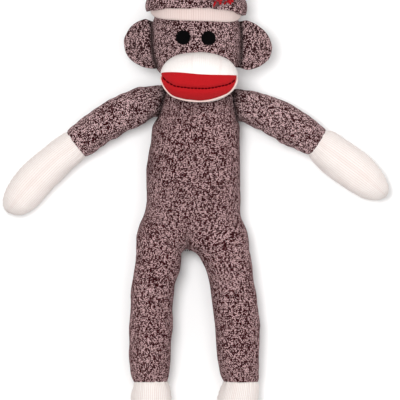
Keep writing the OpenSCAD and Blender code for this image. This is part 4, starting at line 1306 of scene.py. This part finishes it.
# pom-pom: cut lengths of thick yarn held by one tie
PH, PC = np.array([27.2, 195.6, 86.5]), np.array([31.0, 207.5, 98.0])
nax = unit(PC - PH)
st, ids = [], []
n_st = 300
gold = math.pi * (3 - math.sqrt(5))
for k in range(n_st):
    zz = 1 - 2 * (k + 0.5) / n_st
    r = math.sqrt(1 - zz * zz)
    dv = np.array([r * math.cos(gold * k), r * math.sin(gold * k), zz]) + 0.12 * rng.standard_normal(3)
    dv = dv / np.linalg.norm(dv)
    ln = 18.4 + 1.4 * rng.standard_normal()
    if dv @ nax < -0.5:
        ln *= 0.84
    if dv[1] < -0.45 and dv[2] > -0.15:
        ln *= 1.22
    cur = 0.22 * rng.standard_normal(3)
    q = np.linspace(0.1, 1, 9)[:, None]
    kink = 0.55 * np.sin(q * 11 + rng.random() * 6) * unit(np.cross(dv, rng.standard_normal(3)))
    pts = PC + dv * ln * q + np.cross(dv, cur) * ln * q**2 + kink * q
    pts[:, 2] -= 1.2 * q[:, 0] ** 2
    st.append(strand(pts, np.linspace(1.0, 1.62, 9), 8, u0=rng.random() * 5, blunt=True))
    u = rng.random()
    ids.append(0 if (u < 0.66 or (dv[1] < -0.4 and u < 0.85)) else (1 if u < 0.84 else 2))
# the tie that holds it to the crown
for ph in (0.0, math.pi):
    q = np.linspace(0, 1, 16)
    ax0, ax1 = np.array([25.0, 188.5, 80.5]), PC
    e1 = unit(np.cross(nax, np.array([0.0, 0, 1])))
    e2 = np.cross(nax, e1)
    w_ = ph + q * 7.0
    st.append(strand(ax0 + (ax1 - ax0) * q[:, None] + 1.1 * (np.cos(w_)[:, None] * e1 + np.sin(w_)[:, None] * e2), 1.5, 8))
    ids.append(1)
YARN_R = thread_material("yarn_red", (112, 4, 12), (204, 28, 36), 0.55, 0.95, 0.05, 0.1)
YARN_C = thread_material("yarn_cream", (186, 164, 158), (244, 236, 228), 0.55, 0.95, 0.05, 0.1)
YARN_B = thread_material("yarn_brown", (52, 20, 26), (132, 92, 94), 0.55, 0.95, 0.05, 0.1)
pom = bundle("pom_pom_yarn", st, YARN_R, ids, [YARN_C, YARN_B])
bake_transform(pom)
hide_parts("pom_pom", "pom_pom_tie")

# ------------------------------------------------------------------ tail
T0, T1, T2, T3 = (np.array(v, float) for v in ((-16, -80, 5.8), (-34, -118, 5.8), (-42, -160, 5.0), (-46, -180, 4.8)))
pre = np.array([[-8.0, -62, 11.0], [-12.0, -71, 7.6]])
knots = np.vstack([pre, T0, (T0 + T1) / 2, T1, (T1 + T2) / 2, T2, T3])
kk = arc_len(knots)


def tail_path(t):
    return np.stack([curve(kk, knots[:, c], t) for c in range(3)], -1)


rt = lambda t: curve([0, kk[2], kk[4], kk[6], kk[7] + 0.6], [6.0, 5.6, 5.2, 4.8, 4.3], t)
NT = 40
for nm, a, b_, mat, bodies_, hinge, nodes_ in (("tail_root", 0.0, (kk[2] + kk[4]) / 2, MARL2, ("torso", "tail_base"), (kk[2], T0), ("tail_base",)),
                                               ("tail_middle", (kk[2] + kk[4]) / 2, kk[6], MARL2, ("tail_base", "tail_end"), (kk[4], T1), ("tail_end",)),
                                               ("tail_tip_cover", kk[6], kk[7] + 0.8, CREAM, None, None, ("tail_tip",))):
    n = int((b_ - a) / 1.1)
    t = np.linspace(a, b_, n)
    C = tail_path(np.minimum(t, kk[7]))
    if t[-1] > kk[7]:
        over = np.clip(t - kk[7], 0, None)
        C = C + unit(T3 - T2)[None] * over[:, None]
    T, side, up = frames(C)
    R = rt(t)
    if nm == "tail_tip_cover":
        e = np.clip((b_ - t) / 6.0, 0, 1)
        R = R * np.sqrt(np.clip(1 - (1 - e) ** 2, 0.0004, 1)) - 0.3 * np.exp(-(t - a) / 1.0)
    P = tube(C, side, up, R, R * 0.97, NT, 2.0)
    N = outward(P, grid_normals(P, True))
    P = P + N * (0.3 * noise(P, 9, 97))[..., None]
    P[..., 2] = np.maximum(P[..., 2], 0.3)
    UV = np.stack(np.broadcast_arrays(np.linspace(0, 13, NT + 1)[None, :], -t[:, None] / COURSE), -1)
    ob = grid_piece(nm, P, UV, wrap=True, mat=mat, cap0=(nm != "tail_middle"), cap1=True)
    if bodies_:
        h = hinge[1]
        i = int(np.argmin(np.linalg.norm(C - h[None], axis=1)))
        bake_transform(ob)
    else:
        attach(ob, "tail_end")
    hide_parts(*nodes_)

# ------------------------------------------------------------------ closing stitches at the seat
st = []
for k in range(9):
    q = np.linspace(-1, 1, 6)
    xx = XC + (k - 4) * 2.4
    st.append(strand(np.stack([xx + 0.5 * q, YC - 0.8 - 1.2 * np.cos(q * 1.5) + 0 * q, 37 + 3.2 * q], -1), 0.4, 6))
cs = bundle("seat_stitches", st, DARKTH)
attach(cs, "torso")
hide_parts("back_seam_stitches")

# ------------------------------------------------------------------ stage and light
fl = bpy.data.meshes.new("floor")
fl.from_pydata([(-6, -6, 0), (6, -6, 0), (6, 6, 0), (-6, 6, 0)], [], [[0, 1, 2, 3]])
floor = bpy.data.objects.new("floor", fl)
scene.collection.objects.link(floor)
nf = Nodes("floor_white")
nf.finish((0.95, 0.95, 0.95, 1), 0.95, None, spec=0.0)
fl.materials.append(nf.mat)

world = bpy.data.worlds.new("world")
world.use_nodes = True
world.node_tree.nodes["Background"].inputs[0].default_value = (1, 0.99, 0.98, 1)
world.node_tree.nodes["Background"].inputs[1].default_value = 0.42
scene.world = world


def area(name, loc, size, power, target=(0, 0, 0.03), color=(1, 1, 1)):
    ld = bpy.data.lights.new(name, "AREA")
    ld.shape = "DISK"
    ld.size = size
    ld.energy = power
    ld.color = color
    lo = bpy.data.objects.new(name, ld)
    lo.location = loc
    lo.rotation_euler = (Vector(target) - Vector(loc)).to_track_quat("-Z", "Y").to_euler()
    scene.collection.objects.link(lo)
    return lo


area("top", (0.2, 0.0, 2.4), 1.6, 16)
area("key", (-0.36, 0.26, 2.2), 0.8, 30)
area("side", (1.5, 0.1, 1.2), 0.8, 6.5)
scene.view_settings.view_transform = "Standard"
scene.view_settings.look = "None"
scene.view_settings.exposure = 0.0
